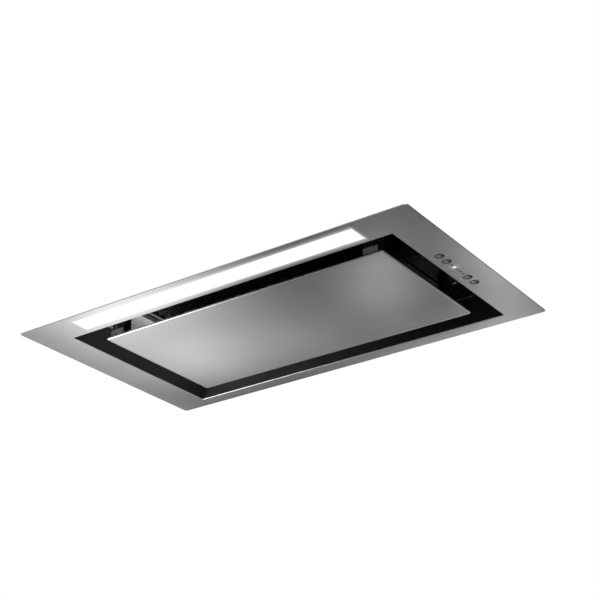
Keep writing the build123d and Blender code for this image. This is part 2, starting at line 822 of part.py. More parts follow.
# Filter ledge: black Z-strip under the filter's left edge
ledge_sheet = 1.2
ledge_tip = -179.5
ledge_length = 200.0
with BuildPart() as filter_ledge:
    with BuildSketch(Plane.XZ.offset(-opening_y - ledge_length / 2)):
        with BuildLine():
            Polyline(
                (-204, deck_top),
                (-188.4, deck_top),
                (-188.4, deck_bottom - ledge_sheet),
                (ledge_tip, deck_bottom - ledge_sheet),
                (ledge_tip, deck_bottom),
                (-188.4 + ledge_sheet, deck_bottom),
                (-188.4 + ledge_sheet, deck_top + ledge_sheet),
                (-204, deck_top + ledge_sheet),
                close=True,
            )
        make_face()
    extrude(amount=ledge_length)
keep(filter_ledge, "filter_ledge")

# Blower housing: spiral of quarter arcs about a small square, in two halves on the mid-plane
outlet_height = casing_top - wheel_z
inlet_lip = 6.0
tongue_radius = 6.0
arc_step = (scroll_end - scroll_start) / 3
first_arc = scroll_end - arc_step / 2
for name, sign in sides:
    with BuildPart() as scroll:
        for extra, depth, mode in (
            (scroll_wall, scroll_half_width + scroll_wall, Mode.ADD),
            (0.0, scroll_half_width, Mode.SUBTRACT),
        ):
            mouth_inner = outlet_inner_y - extra
            mouth_outer = scroll_end + extra
            with BuildSketch(wheel_plane) as spiral:
                with BuildLine():
                    corner = arc_step / 2
                    CenterArc((corner, corner), first_arc + extra, 270, 90)
                    CenterArc((corner, -corner), first_arc - arc_step + extra, 180, 90)
                    CenterArc((-corner, -corner), first_arc - 2 * arc_step + extra, 90, 90)
                    last_radius = first_arc - 3 * arc_step + extra
                    drop = degrees(asin((mouth_inner + corner) / last_radius))
                    inner_end = CenterArc((-corner, corner), last_radius, 90 - drop, drop) @ 0
                    Polyline(
                        (mouth_outer, corner),
                        (mouth_outer, outlet_height),
                        (mouth_inner, outlet_height),
                        inner_end,
                    )
                make_face()
                tongue = wheel_plane.from_local_coords((mouth_inner, inner_end.Y))
                fillet(spiral.vertices().sort_by_distance(tongue)[0], tongue_radius - extra)
            extrude(amount=sign * depth, mode=mode)
        with BuildSketch(wheel_plane.offset(sign * scroll_half_width)):
            Circle(inlet_radius)
        extrude(amount=sign * scroll_wall, mode=Mode.SUBTRACT)
        with BuildSketch(Plane.XY.offset(wheel_z)):
            lip_x = sign * (scroll_half_width + scroll_wall)
            lip_y = wheel_y + inlet_radius
            with BuildLine():
                Polyline(
                    (lip_x, lip_y),
                    (lip_x + sign * inlet_lip, lip_y + inlet_lip * 0.8),
                    (lip_x + sign * inlet_lip, lip_y + inlet_lip * 0.8 + 2),
                    (lip_x, lip_y + 3),
                    close=True,
                )
            make_face()
        revolve(axis=Axis((0, wheel_y, wheel_z), (1, 0, 0)))
        with BuildSketch(Plane.XY.offset(casing_top - 2)):
            flange_reach = 8.0
            with Locations(
                (sign * (scroll_half_width + scroll_wall + flange_reach) / 2, outlet_y)
            ):
                Rectangle(
                    scroll_half_width + scroll_wall + flange_reach,
                    outlet_mouth_depth + 2 * (scroll_wall + flange_reach),
                )
            with Locations((sign * scroll_half_width / 2, outlet_y)):
                Rectangle(scroll_half_width, outlet_mouth_depth, mode=Mode.SUBTRACT)
        extrude(amount=2)
    keep(scroll, f"scroll_{name}")

# Blower wheel: hub disc, two rows of forward-curved blades, two end rings
blade_outer = wheel_radius - 0.6
blade_sweep = 13.0
blade_bend = (blade_inner + 6.8, 3.4)
blade_tip = (blade_outer * cos(radians(blade_sweep)), blade_outer * sin(radians(blade_sweep)))
with BuildSketch() as blade:
    with BuildLine():
        Polyline(
            (blade_inner, 0),
            blade_bend,
            blade_tip,
            (blade_tip[0] - blade_sheet, blade_tip[1] + 0.2),
            (blade_bend[0] - 0.6, blade_bend[1] + blade_sheet),
            (blade_inner, blade_sheet),
            close=True,
        )
    make_face()
hub_radius = 11.0
hub_half_length = 12.0
ring_sheet = 2.0
with BuildPart() as blower_wheel:
    with BuildSketch(wheel_plane.offset(-wheel_half_width + ring_sheet)):
        with PolarLocations(0, blade_count):
            add(blade.sketch)
    extrude(amount=2 * (wheel_half_width - ring_sheet))
    for ring_start in (-wheel_half_width, wheel_half_width - ring_sheet):
        with BuildSketch(wheel_plane.offset(ring_start)):
            Circle(wheel_radius)
            Circle(blade_inner, mode=Mode.SUBTRACT)
        extrude(amount=ring_sheet)
    with BuildSketch(wheel_plane.offset(-0.6)):
        Circle(wheel_radius)
    extrude(amount=1.2)
    with BuildSketch(wheel_plane.offset(-hub_half_length)):
        Circle(hub_radius)
    extrude(amount=2 * hub_half_length)
    with BuildSketch(wheel_plane.offset(-hub_half_length)):
        Circle(shaft_radius + 0.05)
    extrude(amount=2 * hub_half_length, mode=Mode.SUBTRACT)
keep(blower_wheel, "blower_wheel")

# Motor: housing with two end shields, stator, rotor, bearings, shaft and three-armed bracket
shield = 2.5
bearing_radius = 9.0
bearing_length = 8.0
with BuildPart() as motor_housing:
    with BuildSketch(wheel_plane.offset(motor_start)):
        Circle(motor_radius)
    extrude(amount=motor_end - motor_start)
    with BuildSketch(wheel_plane.offset(motor_start + shield)):
        Circle(motor_radius - shield)
    extrude(amount=motor_end - motor_start - 2 * shield, mode=Mode.SUBTRACT)
    for shield_start in (motor_start + shield, motor_end - shield - bearing_length):
        with BuildSketch(wheel_plane.offset(shield_start)):
            RegularPolygon(bearing_radius + 4, 8)
            Circle(bearing_radius + 0.05, mode=Mode.SUBTRACT)
        extrude(amount=bearing_length)
    with BuildSketch(wheel_plane.offset(motor_start)):
        Circle(shaft_radius + 1)
    extrude(amount=shield, mode=Mode.SUBTRACT)
    with BuildSketch(wheel_plane.offset(motor_start)):
        with PolarLocations(24, 6):
            Rectangle(13, 7)
    extrude(amount=motor_end - motor_start, mode=Mode.SUBTRACT)
keep(motor_housing, "motor_housing")

with BuildPart() as motor_bearings:
    for bearing_start in (motor_start + shield, motor_end - shield - bearing_length):
        with BuildSketch(wheel_plane.offset(bearing_start)):
            Circle(bearing_radius)
            Circle(shaft_radius + running_gap, mode=Mode.SUBTRACT)
        extrude(amount=bearing_length)
keep(motor_bearings, "motor_bearings")

stator_start = 32.0
stator_length = 34.0
rotor_radius = 21.0
with BuildPart() as motor_stator:
    with BuildSketch(wheel_plane.offset(stator_start)):
        Circle(motor_radius - shield - 0.1)
        Circle(rotor_radius + 0.5, mode=Mode.SUBTRACT)
        with PolarLocations(rotor_radius + 5.5, 8):
            Rectangle(7, 8, mode=Mode.SUBTRACT)
    extrude(amount=stator_length)
keep(motor_stator, "motor_stator")

with BuildPart() as motor_rotor:
    with BuildSketch(wheel_plane.offset(stator_start)):
        Circle(rotor_radius)
        Circle(shaft_radius + 0.05, mode=Mode.SUBTRACT)
    extrude(amount=stator_length)
keep(motor_rotor, "motor_rotor")

with BuildPart() as motor_shaft:
    with BuildSketch(wheel_plane.offset(-14)):
        Circle(shaft_radius)
    extrude(amount=motor_end - shield - 0.5 + 14)
keep(motor_shaft, "motor_shaft")

arm_reach = 71.0
bracket_sheet = 2.0
with BuildPart() as motor_bracket:
    with BuildSketch(wheel_plane.offset(motor_end)):
        Circle(20)
        with PolarLocations(arm_reach / 2, 3, start_angle=90):
            Rectangle(arm_reach, 14)
        Circle(shaft_radius + 2, mode=Mode.SUBTRACT)
    extrude(amount=bracket_sheet)
    with BuildSketch(wheel_plane.offset(scroll_half_width + scroll_wall)):
        with PolarLocations(arm_reach - bracket_sheet / 2, 3, start_angle=90):
            Rectangle(bracket_sheet, 14)
    extrude(amount=motor_end - scroll_half_width - scroll_wall)
keep(motor_bracket, "motor_bracket")

# Motor capacitor in its clip on the deck
capacitor_x = -228.0
capacitor_z = deck_top + 16.5
with BuildPart() as capacitor:
    with BuildSketch(Plane.XZ.offset(10)):
        with Locations((capacitor_x, capacitor_z)):
            Circle(14)
    extrude(amount=-56)
    with BuildSketch(Plane.XZ.offset(10)):
        with Locations((capacitor_x - 5, capacitor_z), (capacitor_x + 5, capacitor_z)):
            Rectangle(0.8, 6)
    extrude(amount=8)
keep(capacitor, "capacitor")

with BuildPart() as capacitor_clip:
    with BuildSketch(Plane.XZ.offset(-12)):
        with Locations((capacitor_x, capacitor_z)):
            RegularPolygon(15.3, 12, major_radius=False)
        with Locations((capacitor_x, deck_top + 6)):
            Rectangle(24, 12)
        with Locations((capacitor_x, deck_top + 0.6)):
            Rectangle(38, 1.2)
        with Locations((capacitor_x, capacitor_z)):
            Circle(14.1, mode=Mode.SUBTRACT)
        with Locations((capacitor_x, capacitor_z + 14)):
            Rectangle(14, 12, mode=Mode.SUBTRACT)
    extrude(amount=-16)
keep(capacitor_clip, "capacitor_clip")

# Control box on the deck's right side, with its board and lid
box_x = 220.0
box_y = 20.0
box_width = 52.0
box_length = 150.0
box_height = 44.0
with BuildPart() as control_box:
    with BuildSketch(Plane.XY.offset(deck_top)):
        with Locations((box_x, box_y)):
            Rectangle(box_width, box_length)
    extrude(amount=box_height)
    with BuildSketch(Plane.XY.offset(deck_top + 2)):
        with Locations((box_x, box_y)):
            Rectangle(box_width - 4, box_length - 4)
    extrude(amount=box_height, mode=Mode.SUBTRACT)
    with BuildSketch(Plane.XY.offset(deck_top + 2)):
        with Locations((box_x, box_y)):
            with GridLocations(34, 120, 2, 2):
                Rectangle(6, 6)
    extrude(amount=5)
keep(control_box, "control_box")

with BuildPart() as power_board:
    with BuildSketch(Plane.XY.offset(deck_top + 7)):
        with Locations((box_x, box_y)):
            Rectangle(44, 140)
    extrude(amount=1.6)
    with BuildSketch(Plane.XY.offset(deck_top + 8.6)):
        with Locations((box_x - 4, box_y - 42)):
            Rectangle(30, 36)
    extrude(amount=26)
    with BuildSketch(Plane.XY.offset(deck_top + 8.6)):
        with Locations((box_x, box_y + 4)):
            with GridLocations(20, 18, 2, 2):
                Rectangle(12, 14)
    extrude(amount=16)
keep(power_board, "power_board")

with BuildPart() as control_lid:
    with BuildSketch(Plane.XY.offset(deck_top + box_height)):
        with Locations((box_x, box_y)):
            Rectangle(box_width, box_length)
    extrude(amount=2)
    with BuildSketch(Plane.XY.offset(deck_top + box_height - 3)):
        with Locations((box_x, box_y)):
            Rectangle(box_width - 4.4, box_length - 4.4)
            Rectangle(box_width - 7.4, box_length - 7.4, mode=Mode.SUBTRACT)
    extrude(amount=3)
keep(control_lid, "control_lid")

# Terminal box on the cover: four walls with a notch for the cable gland, and a lid whose tongue
# closes the notch above the gland
terminal_width = 60.0
terminal_depth = 46.0
terminal_height = 30.0
terminal_wall = 2.0
gland_z = cover_top + 15
gland_bore = 4.0
gland_notch = 8.0
gland_start = terminal_y + terminal_depth / 2
lid_bottom = cover_top + terminal_height - terminal_wall
with BuildPart() as terminal_box:
    with BuildSketch(Plane.XY.offset(cover_top)):
        with Locations((terminal_x, terminal_y)):
            Rectangle(terminal_width, terminal_depth)
            Rectangle(
                terminal_width - 2 * terminal_wall,
                terminal_depth - 2 * terminal_wall,
                mode=Mode.SUBTRACT,
            )
    extrude(amount=terminal_height - terminal_wall)
    with BuildSketch(Plane.XZ.offset(-gland_start)):
        with Locations((terminal_x, gland_z)):
            RegularPolygon(gland_notch, 8, major_radius=False, rotation=22.5)
        with Locations((terminal_x, (gland_z + lid_bottom) / 2)):
            Rectangle(2 * gland_notch, lid_bottom - gland_z)
    extrude(amount=terminal_wall + 1, mode=Mode.SUBTRACT)
keep(terminal_box, "terminal_box")

with BuildPart() as terminal_lid:
    with BuildSketch(Plane.XY.offset(lid_bottom)):
        with Locations((terminal_x, terminal_y)):
            Rectangle(terminal_width, terminal_depth)
    extrude(amount=terminal_wall)
    chamfer(terminal_lid.edges().group_by(Axis.Z)[-1], 1)
    with BuildSketch(Plane.XY.offset(gland_z + gland_notch)):
        with Locations((terminal_x, gland_start - terminal_wall / 2)):
            Rectangle(2 * gland_notch - 0.2, terminal_wall)
    extrude(amount=lid_bottom - gland_z - gland_notch)
keep(terminal_lid, "terminal_lid")

# Cable gland: keyed body through the notch, hexagon flange and round cap outside
with BuildPart() as cable_gland:
    with BuildSketch(Plane.XZ.offset(-gland_start + 6)):
        with Locations((terminal_x, gland_z)):
            RegularPolygon(gland_notch - 0.1, 8, major_radius=False, rotation=22.5)
    extrude(amount=-8)
    with BuildSketch(Plane.XZ.offset(-gland_start)):
        with Locations((terminal_x, gland_z)):
            RegularPolygon(10, 6)
    extrude(amount=-5)
    with BuildSketch(Plane.XZ.offset(-gland_start - 5)):
        with Locations((terminal_x, gland_z)):
            Circle(8.2)
    extrude(amount=-9)
    with BuildSketch(Plane.XZ.offset(-gland_start + 6)):
        with Locations((terminal_x, gland_z)):
            Circle(gland_bore)
    extrude(amount=-20, mode=Mode.SUBTRACT)
keep(cable_gland, "cable_gland")

# Outlet collar: spigot for round duct, flap stops and bosses with square sockets for the axles
stop_top = flap_z - flap_sheet / 2 - 0.5
stop_inner = 67.0
stop_bar = 2.4
boss_inner = 67.5
boss_width = 16.0
boss_height = 9.0
collar_plate = 172.0
axle_radius = 2.0
axle_socket = 2 * axle_radius + 0.16
outlet_inner = outlet_radius - outlet_wall
with BuildPart() as outlet_collar:
    with BuildSketch(Plane.XY.offset(cover_top)):
        with Locations((0, outlet_y)):
            Rectangle(collar_plate, collar_plate)
            Circle(outlet_inner, mode=Mode.SUBTRACT)
    extrude(amount=collar_flange)
    with BuildSketch(Plane.XY.offset(cover_top)):
        with Locations((0, outlet_y)):
            Circle(outlet_radius)
            Circle(outlet_inner, mode=Mode.SUBTRACT)
    extrude(amount=outlet_top - cover_top)
    with BuildSketch(Plane.XY.offset(stop_top - 2)):
        with Locations((0, outlet_y)):
            Circle(outlet_inner + 0.5)
            Circle(stop_inner, mode=Mode.SUBTRACT)
            Rectangle(stop_bar, 2 * outlet_inner + 1)
    extrude(amount=2)
    with BuildSketch(Plane.XY.offset(stop_top - 2)):
        with Locations(
            (0, outlet_y + (boss_inner + outlet_inner) / 2),
            (0, outlet_y - (boss_inner + outlet_inner) / 2),
        ):
            Rectangle(boss_width, outlet_inner - boss_inner + 1)
    extrude(amount=boss_height)
    with BuildSketch(Plane.XZ.offset(-outlet_y)):
        with Locations((-flap_axis_x, flap_z), (flap_axis_x, flap_z)):
            Rectangle(axle_socket, axle_socket)
    extrude(amount=outlet_inner, both=True, mode=Mode.SUBTRACT)
keep(outlet_collar, "outlet_collar")

# Non-return flaps: half discs on stub axles
flap_half_length = 66.4
barrel_radius = 2.6
axle_half_length = 71.5
for name, sign in sides:
    with BuildPart() as flap:
        with BuildSketch(Plane.XY.offset(flap_z - flap_sheet / 2)):
            with Locations((0, outlet_y)):
                Circle(flap_radius)
                Rectangle(2 * flap_radius, 2 * flap_half_length, mode=Mode.INTERSECT)
            with Locations((-sign * (flap_radius - flap_axis_x + 1), outlet_y)):
                Rectangle(2 * flap_radius, 2 * flap_radius, mode=Mode.SUBTRACT)
        extrude(amount=flap_sheet)
        with BuildSketch(Plane.XZ.offset(-outlet_y)):
            with Locations((sign * flap_axis_x, flap_z)):
                Circle(barrel_radius)
        extrude(amount=flap_half_length, both=True)
        with BuildSketch(Plane.XZ.offset(-outlet_y)):
            with Locations((sign * flap_axis_x, flap_z)):
                Circle(axle_radius)
        extrude(amount=axle_half_length, both=True)
    keep(flap, f"flap_{name}")
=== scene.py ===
import json
import math

import bmesh
import bpy
from bpy.props import FloatProperty, FloatVectorProperty, IntProperty, PointerProperty
from mathutils import Matrix, Vector


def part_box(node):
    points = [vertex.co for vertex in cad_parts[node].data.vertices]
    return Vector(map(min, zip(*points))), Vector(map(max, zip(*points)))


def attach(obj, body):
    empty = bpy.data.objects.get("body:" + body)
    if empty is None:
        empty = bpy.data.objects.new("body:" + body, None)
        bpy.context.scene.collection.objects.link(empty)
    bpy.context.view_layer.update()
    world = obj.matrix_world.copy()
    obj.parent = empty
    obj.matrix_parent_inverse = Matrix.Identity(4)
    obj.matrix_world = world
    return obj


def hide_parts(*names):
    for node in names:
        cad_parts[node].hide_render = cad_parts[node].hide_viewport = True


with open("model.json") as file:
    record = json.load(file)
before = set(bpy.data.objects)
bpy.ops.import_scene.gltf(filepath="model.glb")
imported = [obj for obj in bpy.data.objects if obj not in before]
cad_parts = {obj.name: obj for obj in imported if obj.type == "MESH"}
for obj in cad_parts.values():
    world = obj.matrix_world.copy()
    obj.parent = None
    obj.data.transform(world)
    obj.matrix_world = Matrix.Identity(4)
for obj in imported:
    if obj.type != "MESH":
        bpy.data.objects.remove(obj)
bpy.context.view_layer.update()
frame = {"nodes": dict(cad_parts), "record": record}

bl_info = {
    "name": "Built-in range hood",
    "version": (1, 0, 0),
    "blender": (4, 5, 0),
    "location": "View3D > Sidebar > Range Hood",
    "description": "Finishes and detailed pieces for a built-in range hood",
    "category": "Object",
}

MM = 0.001
WHITE = (1.0, 1.0, 1.0, 1.0)
BLACK = (0.0, 0.0, 0.0, 1.0)
HOOD = "hood"
PANEL = "panel"

# Places that the detailed pieces share with the solids, in millimetres
OPENING_Y = 14.5
OPENING_HALF_WIDTH = 250.0
OPENING_HALF_DEPTH = 138.5
CUT_OUT_HALF_WIDTH = 292.0
CUT_OUT_HALF_DEPTH = 167.0
RIM_LOW = -1.2
PANEL_HALF_WIDTH = 219.0
PANEL_HALF_DEPTH = 109.0
LED_Y = -147.8
LED_HALF_WIDTH = 220.0
LED_HALF_DEPTH = 14.5
CONTROL_X = 266.0
CONTROL_Y = 1.0
BUTTON_OFFSETS = (-43.3, -26.1, 26.1, 43.3)
INDICATOR_PITCH = 7.1
LIT_PEG_Y = CONTROL_Y - INDICATOR_PITCH
FILTER_RIB_SLOPE = 0.533
FLANGE_SCREWS = [(x, OPENING_Y + s * 144.0) for x in (-170.0, 170.0) for s in (-1, 1)]
FLANGE_TOP = 41.8
HINGE_SCREWS = [(s * 206.0, 105.0) for s in (-1, 1)]
DECK_BOTTOM = 40.0
SKIRT_SCREW_X = 180.0
SKIRT_HALF_DEPTH = 140.9
SKIRT_SCREW_Z = 221.0
COLLAR_Y = 23.0
COLLAR_SCREW_OFFSET = 78.0
COLLAR_FLANGE_TOP = 229.3

# How much shorter than its window the lit part of the strip is at each end, in millimetres
LED_END_GAP = 1.7

# Distances between the strip's diodes, and over which its light and the lit peg's fade, in metres
DIODE_PITCH = 0.018
SPILL_REACH = 0.0026
INDICATOR_REACH = 0.0021

# Radius of the drawn edge of the rim's opening, in metres
RIM_EDGE = 0.0007

# Brushed steel: its roughness, and its grain, long along the width and fine across it
STEEL_ROUGHNESS = 0.22
BRUSH_STRETCH = (6.0, 1100.0, 1100.0)

# Points round a small turned piece, and grooves round the gland's nut
ROUND_POINTS = 48
GLAND_GROOVES = 18


# Settings that a user of the add-on would change


class HoodSizes(bpy.types.PropertyGroup):
    """Sizes of the detailed pieces"""

    panel_edge: FloatProperty(
        name="Panel edge",
        description="Thickness of the suction panel at its folded edge",
        default=0.003,
        min=0.002,
        max=0.006,
        subtype="DISTANCE",
        unit="LENGTH",
    )
    mesh_pitch: FloatProperty(
        name="Mesh pitch",
        description="Distance between two ribs of the grease filter, along the hood's width",
        default=0.0048,
        min=0.003,
        max=0.01,
        subtype="DISTANCE",
        unit="LENGTH",
    )
    mesh_length: FloatProperty(
        name="Mesh length",
        description="Length of one diamond of the grease filter's mesh",
        default=0.012,
        min=0.006,
        max=0.03,
        subtype="DISTANCE",
        unit="LENGTH",
    )
    button_dish: FloatProperty(
        name="Button dish",
        description="Depth of the hollow in a button's face",
        default=0.0002,
        min=0.0,
        max=0.001,
        subtype="DISTANCE",
        unit="LENGTH",
    )
    edge_round: FloatProperty(
        name="Edge rounding",
        description="Radius of the broken edges on sheet metal and mouldings",
        default=0.0003,
        min=0.0,
        max=0.001,
        subtype="DISTANCE",
        unit="LENGTH",
    )


class HoodColours(bpy.types.PropertyGroup):
    """Colours and levels of the finishes"""

    stainless: FloatVectorProperty(
        name="Stainless steel",
        description="Brushed steel of the rim and the suction panel",
        default=(0.60, 0.60, 0.595),
        min=0.0,
        max=1.0,
        subtype="COLOR",
    )
    zinc: FloatVectorProperty(
        name="Galvanised sheet",
        description="Spangled zinc of the tray, the casing and the cover",
        default=(0.50, 0.515, 0.53),
        min=0.0,
        max=1.0,
        subtype="COLOR",
    )
    black: FloatVectorProperty(
        name="Black moulding",
        description="Black plastic of the liner, the catches and the boxes",
        default=(0.04, 0.04, 0.042),
        min=0.0,
        max=1.0,
        subtype="COLOR",
    )
    light_level: FloatProperty(
        name="Light strip",
        description="Strength of the light strip's opal cover",
        default=1.1,
        min=0.0,
        max=10.0,
    )
    # Strength of the glow painted on the rim beside the strip, standing in for its spill light
    painted_spill_level: FloatProperty(
        name="Light on the rim",
        description="Strength of the light that the strip's cover throws on the rim beside it",
        default=0.55,
        min=0.0,
        max=2.0,
    )


class HoodStage(bpy.types.PropertyGroup):
    """Camera and studio"""

    lens: FloatProperty(
        name="Focal length",
        description="Focal length of the camera, in millimetres on a 36 mm sensor",
        default=85.742,
        min=20.0,
        max=300.0,
    )
    sky: FloatProperty(
        name="Room light",
        description="Strength of the even light of the studio",
        default=0.42,
        min=0.0,
        max=2.0,
    )
    floor_drop: FloatProperty(
        name="Floor",
        description="Height of the floor under the rim",
        default=-1.5,
        min=-3.0,
        max=-0.9,
        subtype="DISTANCE",
        unit="LENGTH",
    )
    lamp_count: IntProperty(
        name="Soft lamps",
        description="Number of soft lamps round the hood",
        default=3,
        min=1,
        max=3,
    )


# Finishes: small helpers for node trees


def opened(material):
    """A finish's node tree and main shader."""
    return material.node_tree, material.node_tree.nodes["Principled BSDF"]


def new_finish(name):
    """An empty finish: its material, node tree and main shader."""
    material = bpy.data.materials.new(name)
    material.use_nodes = True
    return material, *opened(material)


def place(tree, stretch=(1.0, 1.0, 1.0), turn=(0.0, 0.0, 0.0)):
    """Coordinates in the object's own space, stretched and turned."""
    coordinates = tree.nodes.new("ShaderNodeTexCoord")
    mapping = tree.nodes.new("ShaderNodeMapping")
    mapping.inputs["Scale"].default_value = stretch
    mapping.inputs["Rotation"].default_value = turn
    tree.links.new(coordinates.outputs["Object"], mapping.inputs["Vector"])
    return mapping.outputs["Vector"]


def along(tree, axis):
    """Place along one axis of the object's own space: X, Y or Z."""
    split = tree.nodes.new("ShaderNodeSeparateXYZ")
    tree.links.new(place(tree), split.inputs["Vector"])
    return split.outputs[axis]


def distance_from(tree, point, stretch=(1.0, 1.0, 1.0)):
    """Distance from a point, both in the stretched space."""
    node = tree.nodes.new("ShaderNodeVectorMath")
    node.operation = "DISTANCE"
    tree.links.new(place(tree, stretch), node.inputs[0])
    node.inputs[1].default_value = point
    return node.outputs["Value"]


def noise(tree, vector, scale, detail=3.0, roughness=0.5):
    """Value of a noise texture."""
    node = tree.nodes.new("ShaderNodeTexNoise")
    node.inputs["Scale"].default_value = scale
    node.inputs["Detail"].default_value = detail
    node.inputs["Roughness"].default_value = roughness
    tree.links.new(vector, node.inputs["Vector"])
    return node.outputs["Fac"]


def spread(tree, value, low, high, start=0.3, end=0.7):
    """A value mapped smoothly from start..end to low..high."""
    node = tree.nodes.new("ShaderNodeMapRange")
    node.interpolation_type = "SMOOTHSTEP"
    node.inputs["From Min"].default_value = start
    node.inputs["From Max"].default_value = end
    node.inputs["To Min"].default_value = low
    node.inputs["To Max"].default_value = high
    tree.links.new(value, node.inputs["Value"])
    return node.outputs["Result"]


def reckon(tree, operation, *values):
    """A math node on sockets and numbers."""
    node = tree.nodes.new("ShaderNodeMath")
    node.operation = operation
    for socket, value in zip(node.inputs, values):
        if isinstance(value, (int, float)):
            socket.default_value = value
        else:
            tree.links.new(value, socket)
    return node.outputs["Value"]


def plus(tree, first, second):
    """Sum of two values."""
    return reckon(tree, "ADD", first, second)


def minus(tree, first, second):
    """Difference of two values."""
    return reckon(tree, "SUBTRACT", first, second)


def times(tree, first, second):
    """Product of two values."""
    return reckon(tree, "MULTIPLY", first, second)


def smaller(tree, first, second):
    """The smaller of two values."""
    return reckon(tree, "MINIMUM", first, second)


def larger(tree, first, second):
    """The larger of two values."""
    return reckon(tree, "MAXIMUM", first, second)


def fading(tree, distance, reach):
    """One at no distance and less further out, by a factor of e for each reach."""
    return reckon(tree, "EXPONENT", reckon(tree, "DIVIDE", distance, -reach))


def looks_down(tree):
    """One on faces that look down, nought on the others."""
    normal = tree.nodes.new("ShaderNodeNewGeometry")
    facing = tree.nodes.new("ShaderNodeSeparateXYZ")
    tree.links.new(normal.outputs["Normal"], facing.inputs["Vector"])
    return reckon(tree, "LESS_THAN", facing.outputs["Z"], -0.5)


def shade(colour, factor):
    """A colour made lighter or darker."""
    return tuple(min(1.0, c * factor) for c in colour)


def tint(tree, shader, value, first, second):
    """Gives a shader a colour between two tones."""
    node = tree.nodes.new("ShaderNodeMix")
    node.data_type = "RGBA"
    node.inputs["A"].default_value = (*first, 1.0)
    node.inputs["B"].default_value = (*second, 1.0)
    tree.links.new(value, node.inputs["Factor"])
    tree.links.new(node.outputs["Result"], shader.inputs["Base Color"])


def roughen(tree, shader, value, low, high, start=0.3, end=0.7):
    """Gives a shader a roughness that follows a value."""
    rough = spread(tree, value, low, high, start, end)
    tree.links.new(rough, shader.inputs["Roughness"])


def relief(tree, shader, height, strength, depth=0.0002):
    """Bump from a height value."""
    node = tree.nodes.new("ShaderNodeBump")
    node.inputs["Strength"].default_value = strength
    node.inputs["Distance"].default_value = depth
    tree.links.new(height, node.inputs["Height"])
    tree.links.new(node.outputs["Normal"], shader.inputs["Normal"])


def brushed_steel(name, colour):
    """Stainless steel with a fine satin, brushed along the hood's width."""
    material, tree, shader = new_finish(name)
    fine = noise(tree, place(tree, BRUSH_STRETCH), 1.0, detail=4.0, roughness=0.6)
    cloud = noise(tree, place(tree), 9.0, detail=2.0)
    tint(tree, shader, spread(tree, fine, 0.0, 1.0), shade(colour, 0.97), shade(colour, 1.03))
    grain = spread(tree, fine, STEEL_ROUGHNESS - 0.02, STEEL_ROUGHNESS + 0.02)
    rough = plus(tree, grain, spread(tree, cloud, -0.01, 0.01))
    tree.links.new(rough, shader.inputs["Roughness"])
    shader.inputs["Metallic"].default_value = 1.0
    shader.inputs["Anisotropic"].default_value = 0.3
    across = tree.nodes.new("ShaderNodeCombineXYZ")
    across.inputs["Y"].default_value = 1.0
    tree.links.new(across.outputs["Vector"], shader.inputs["Tangent"])
    relief(tree, shader, fine, 0.01, 0.00004)
    return material


def inside_strip(tree):
    """Place along the hood, and how far inside the light strip's ends and its sides a point is.

    All three are in metres, and the distances are negative outside.
    """
    x = along(tree, "X")
    off_y = reckon(tree, "ABSOLUTE", minus(tree, along(tree, "Y"), LED_Y * MM))
    inside_y = minus(tree, LED_HALF_DEPTH * MM, off_y)
    lit_half_width = (LED_HALF_WIDTH - LED_END_GAP) * MM
    inside_x = minus(tree, lit_half_width, reckon(tree, "ABSOLUTE", x))
    return x, inside_x, inside_y


def painted_light_beside_strip(material, level):
    """Paints the light that the opal strip and the lit peg throw on the rim's lower face, as a glow
    of that face.
    """
    tree, shader = opened(material)
    fade_at_ends, peg_share = 2.0, 1.3
    x, inside_x, inside_y = inside_strip(tree)
    gap_y = smaller(tree, inside_y, 0.0)
    gap_x = times(tree, smaller(tree, inside_x, 0.0), fade_at_ends)
    square = plus(tree, times(tree, gap_y, gap_y), times(tree, gap_x, gap_x))
    fade = fading(tree, reckon(tree, "SQRT", square), SPILL_REACH)
    weaker_left = spread(tree, x, 0.35, 1.0, -0.22, 0.0)
    strip = times(tree, fade, weaker_left)
    # Painted glow round the lit peg, added to the painted glow along the strip
    peg = (CONTROL_X * MM, LIT_PEG_Y * MM, RIM_LOW * MM)
    lamp = fading(tree, distance_from(tree, peg), INDICATOR_REACH)
    both = plus(tree, strip, times(tree, lamp, peg_share))
    glow = times(tree, both, looks_down(tree))
    shader.inputs["Emission Color"].default_value = WHITE
    tree.links.new(times(tree, glow, level), shader.inputs["Emission Strength"])


def zinc_sheet(name, colour):
    """Galvanised sheet with its crystal pattern."""
    material, tree, shader = new_finish(name)
    crystals = tree.nodes.new("ShaderNodeTexVoronoi")
    crystals.inputs["Scale"].default_value = 150.0
    tree.links.new(place(tree, turn=(0.2, 0.1, 0.4)), crystals.inputs["Vector"])
    grey = tree.nodes.new("ShaderNodeSeparateColor")
    tree.links.new(crystals.outputs["Color"], grey.inputs["Color"])
    cloud = noise(tree, place(tree), 22.0, detail=3.0)
    mottle = plus(tree, times(tree, grey.outputs["Red"], 0.6), times(tree, cloud, 0.4))
    share = spread(tree, mottle, 0.0, 1.0, 0.1, 0.9)
    tint(tree, shader, share, shade(colour, 0.93), shade(colour, 1.06))
    roughen(tree, shader, mottle, 0.25, 0.31, 0.1, 0.9)
    shader.inputs["Metallic"].default_value = 1.0
    relief(tree, shader, cloud, 0.03)
    return material


def plated_steel(name, colour, roughness=0.3):
    """Small parts of plated steel, and rolled aluminium."""
    material, tree, shader = new_finish(name)
    cloud = noise(tree, place(tree), 260.0, detail=4.0)
    tint(tree, shader, spread(tree, cloud, 0.0, 1.0), shade(colour, 0.85), shade(colour, 1.08))
    roughen(tree, shader, cloud, roughness - 0.06, roughness + 0.1)
    shader.inputs["Metallic"].default_value = 1.0
    relief(tree, shader, cloud, 0.08)
    return material


